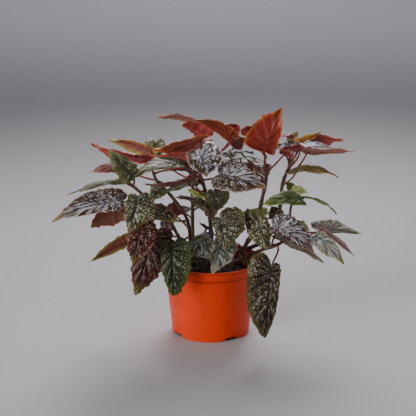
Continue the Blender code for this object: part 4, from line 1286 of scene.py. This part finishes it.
class BEGONIA_OT_canes(bpy.types.Operator):
    """Grow the canes, swollen and ringed at every node"""

    bl_idname = "begonia.canes"
    bl_label = "Canes"

    STEP = 1.2  # mm from one ring of points to the next
    DEPTH = 12  # mm that a cane goes down into the mix
    NODE_REACH = 2.2  # mm from a node that its swelling reaches
    # How green each cane's skin is, from 0 for cork brown to 1
    GREEN = {"cane_centre": 0.35, "cane_left_back": 0.8, "cane_left": 0.3, "cane_low_right": 0.1}

    def nodes_of(self, name, top, room, draws):
        """The heights of a cane's nodes: where its leaves stand, and bare ones in the long gaps."""
        heights = sorted(leaf.height for leaf in LEAVES if leaf.cane == name)
        found = [SOIL_TOP + draws.uniform(4, 10)]
        for height in (*heights, top):
            while height - found[-1] > 1.6 * room:
                found.append(found[-1] + room * draws.uniform(0.8, 1.2))
            if height - found[-1] > 0.25 * room and height < top:
                found.append(height)
        return found

    def grow(self, cane, sizes, draws, skin):
        line = cane_line(cane.points, 12)
        line[0].z = SOIL_TOP - self.DEPTH
        dense = [line[0]]
        for before, after in zip(line, line[1:]):
            steps = max(1, round((after - before).length / self.STEP))
            dense += [before.lerp(after, i / steps) for i in range(1, steps + 1)]
        nodes = self.nodes_of(cane.name, dense[-1].z, sizes.node_room / MM, draws)
        off_node = [min(abs(place.z - node) for node in nodes) for place in dense]
        deselect_all()
        bpy.ops.curve.primitive_nurbs_path_add()
        piece = added(cane.name + "_skin")
        piece.data.splines.clear()
        spline = piece.data.splines.new("POLY")
        spline.points.add(len(dense) - 1)
        piece.data.bevel_depth = MM
        piece.data.bevel_resolution = 4
        piece.data.use_fill_caps = True
        # Its girth is uneven by up to 6%, and it sways by up to 0.5 mm
        for i, place in enumerate(dense):
            share = i / (len(dense) - 1)
            swell = 1 + sizes.swelling * math.exp(-((off_node[i] / self.NODE_REACH) ** 2))
            swell += 0.06 * noise.noise(Vector((0.15 * place.z, cane.foot, 0)))
            sway = Vector((noise.noise(Vector((0.06 * place.z, cane.foot, 3))), 0, 0)) * 0.5
            spline.points[i].co = (*((place + sway) * MM), 1.0)
            spline.points[i].radius = (cane.foot + (cane.top - cane.foot) * share) * swell
        bpy.ops.object.convert(target="MESH")
        tidy_mesh(piece)
        # The skin reads how many millimetres it is from a node, and how green its cane is
        heights = mesh_points(piece)[:, 2] / MM
        order = np.abs(heights[:, None] - np.array([place.z for place in dense])[None, :]).argmin(axis=1)
        give_attribute(piece, "ring", np.array(off_node)[order])
        give_attribute(piece, "green", np.full(len(heights), self.GREEN.get(cane.name, 0.0)))
        piece.data.materials.append(skin)
        hand_over(piece, "cane_bark", cane.name)

    def execute(self, context):
        sizes = context.scene.begonia_canes
        draws = random.Random(sizes.seed)
        skin = cane_material()
        for cane in CANES:
            self.grow(cane, sizes, draws, skin)
        return {"FINISHED"}


class BEGONIA_OT_leaves(bpy.types.Operator):
    """Lay out every leaf, give it its thickness and join its stalk to it"""

    bl_idname = "begonia.leaves"
    bl_label = "Leaves"

    def execute(self, context):
        for name, look in LOOKS.items():
            for upper in (True, False):
                blade_material(name, look, upper)
        for name in sorted({look.stalk for look in LOOKS.values()}):
            stalk_material(name)
        for leaf in LEAVES:
            piece = make_leaf(leaf)
            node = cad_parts.get(leaf.name)
            if node:
                hand_over(piece, node.data.materials[0].name, leaf.name)
            else:
                hand_over(piece, LOOKS[leaf.look].slot)
        return {"FINISHED"}


class BEGONIA_OT_stage(bpy.types.Operator):
    """Lay the floor and set the lights and the camera"""

    bl_idname = "begonia.stage"
    bl_label = "Stage"

    FLOOR_SIZE = 60
    AIM = Vector((-0.0036, 0.0, 0.1676))  # of the camera and the lamps, in metres as all the stage is
    SPREAD = math.radians(70)
    WARM, COOL, NEUTRAL = (1.0, 0.98, 0.95), (0.95, 0.97, 1.0), (0.95, 0.95, 1.0)
    # Lamps that aim at the plant: the name of the lamp and its strength, its place, its size and its tint
    LAMPS = (
        ("key", (-1.7, -1.5, 0.85), 1.6, WARM),
        ("fill", (1.6, -1.2, 0.9), 1.2, COOL),
        ("top", (0.2, 1.5, 1.5), 1.2, COOL),
    )
    # Four lamps that light only the floor far from the plant, so that it is as pale behind as in front
    FLOOR_LAMPS = (("back", 0, 3.3), ("right", 3.3, 0), ("front", 0, -3.3), ("left", -3.3, 0))
    FLOOR_LAMP_HEIGHT, FLOOR_LAMP_SIZE = 2.5, 3.0

    def light(self, name, place, size, power, tint, aim=AIM):
        bpy.ops.object.light_add(type="AREA", location=place)
        lamp = added(name)
        lamp.data.shape = "DISK"
        lamp.data.size = size
        lamp.data.energy = power
        lamp.data.color = tint
        lamp.data.spread = self.SPREAD
        lamp.rotation_euler = (Vector(aim) - Vector(place)).to_track_quat("-Z", "Y").to_euler()

    def lay_floor(self, tint):
        bpy.ops.mesh.primitive_plane_add(size=self.FLOOR_SIZE)
        floor = added("studio_floor")
        material, add, shader = new_material("matt_paper_floor")
        place = add("ShaderNodeTexCoord").outputs["Object"]
        # Paper fibre, drawn at 4 mm so that it shows
        fibre = add("ShaderNodeTexNoise", inputs={"Vector": place, "Scale": 250.0})
        bump = add("ShaderNodeBump", inputs={"Height": fibre, "Strength": 0.05, "Distance": 0.1 * MM})
        set_inputs(shader, {"Base Color": (*tint, 1.0), "Normal": bump, "Roughness": 0.9})
        floor.data.materials.append(material)

    def execute(self, context):
        sizes = context.scene.begonia_stage
        deselect_all()
        self.lay_floor(sizes.floor)
        world = bpy.data.worlds.new("studio")
        world.use_nodes = True
        background = world.node_tree.nodes["Background"]
        set_inputs(background, {"Color": (*sizes.sky, 1.0), "Strength": sizes.sky_strength})
        context.scene.world = world
        for name, place, size, tint in self.LAMPS:
            self.light(f"{name}_light", place, size, getattr(sizes, name), tint)
        for side, x, y in self.FLOOR_LAMPS:
            place = (x, y, self.FLOOR_LAMP_HEIGHT)
            self.light(
                f"floor_light_{side}", place, self.FLOOR_LAMP_SIZE, sizes.far, self.NEUTRAL, (x, y, 0.0)
            )
        back = Vector((0, -math.cos(sizes.elevation), math.sin(sizes.elevation)))
        bpy.ops.object.camera_add(location=self.AIM + back * sizes.distance)
        camera = bpy.context.active_object
        camera.name = "camera"
        camera.data.sensor_width = 36
        camera.data.lens = sizes.lens
        camera.data.clip_end = 100
        camera.rotation_euler = (-back).to_track_quat("-Z", "Y").to_euler()
        context.scene.camera = camera
        return {"FINISHED"}


class BEGONIA_PT_panel(bpy.types.Panel):
    """Lists the pieces in the order in which they are made"""

    bl_idname = "BEGONIA_PT_panel"
    bl_label = "Begonia"
    bl_space_type = "VIEW_3D"
    bl_region_type = "UI"
    bl_category = "Begonia"

    def draw(self, context):
        for operator in OPERATORS:
            self.layout.operator(operator.bl_idname)


GROUPS = {
    "begonia_colours": BegoniaColours,
    "begonia_pot": BegoniaPot,
    "begonia_mix": BegoniaMix,
    "begonia_canes": BegoniaCanes,
    "begonia_leaves": BegoniaLeaves,
    "begonia_stage": BegoniaStage,
}
OPERATORS = (
    BEGONIA_OT_pot,
    BEGONIA_OT_mix,
    BEGONIA_OT_litter,
    BEGONIA_OT_canes,
    BEGONIA_OT_leaves,
    BEGONIA_OT_stage,
)


def register():
    for group in GROUPS.values():
        bpy.utils.register_class(group)
    for name, group in GROUPS.items():
        setattr(bpy.types.Scene, name, bpy.props.PointerProperty(type=group))
    for operator in OPERATORS:
        bpy.utils.register_class(operator)
    bpy.utils.register_class(BEGONIA_PT_panel)


def unregister():
    bpy.utils.unregister_class(BEGONIA_PT_panel)
    for operator in reversed(OPERATORS):
        bpy.utils.unregister_class(operator)
    for name, group in reversed(list(GROUPS.items())):
        delattr(bpy.types.Scene, name)
        bpy.utils.unregister_class(group)


def main():
    register()
    bpy.ops.begonia.pot()
    bpy.ops.begonia.mix()
    bpy.ops.begonia.litter()
    bpy.ops.begonia.canes()
    bpy.ops.begonia.leaves()
    bpy.ops.begonia.stage()


if __name__ == "__main__":
    main()
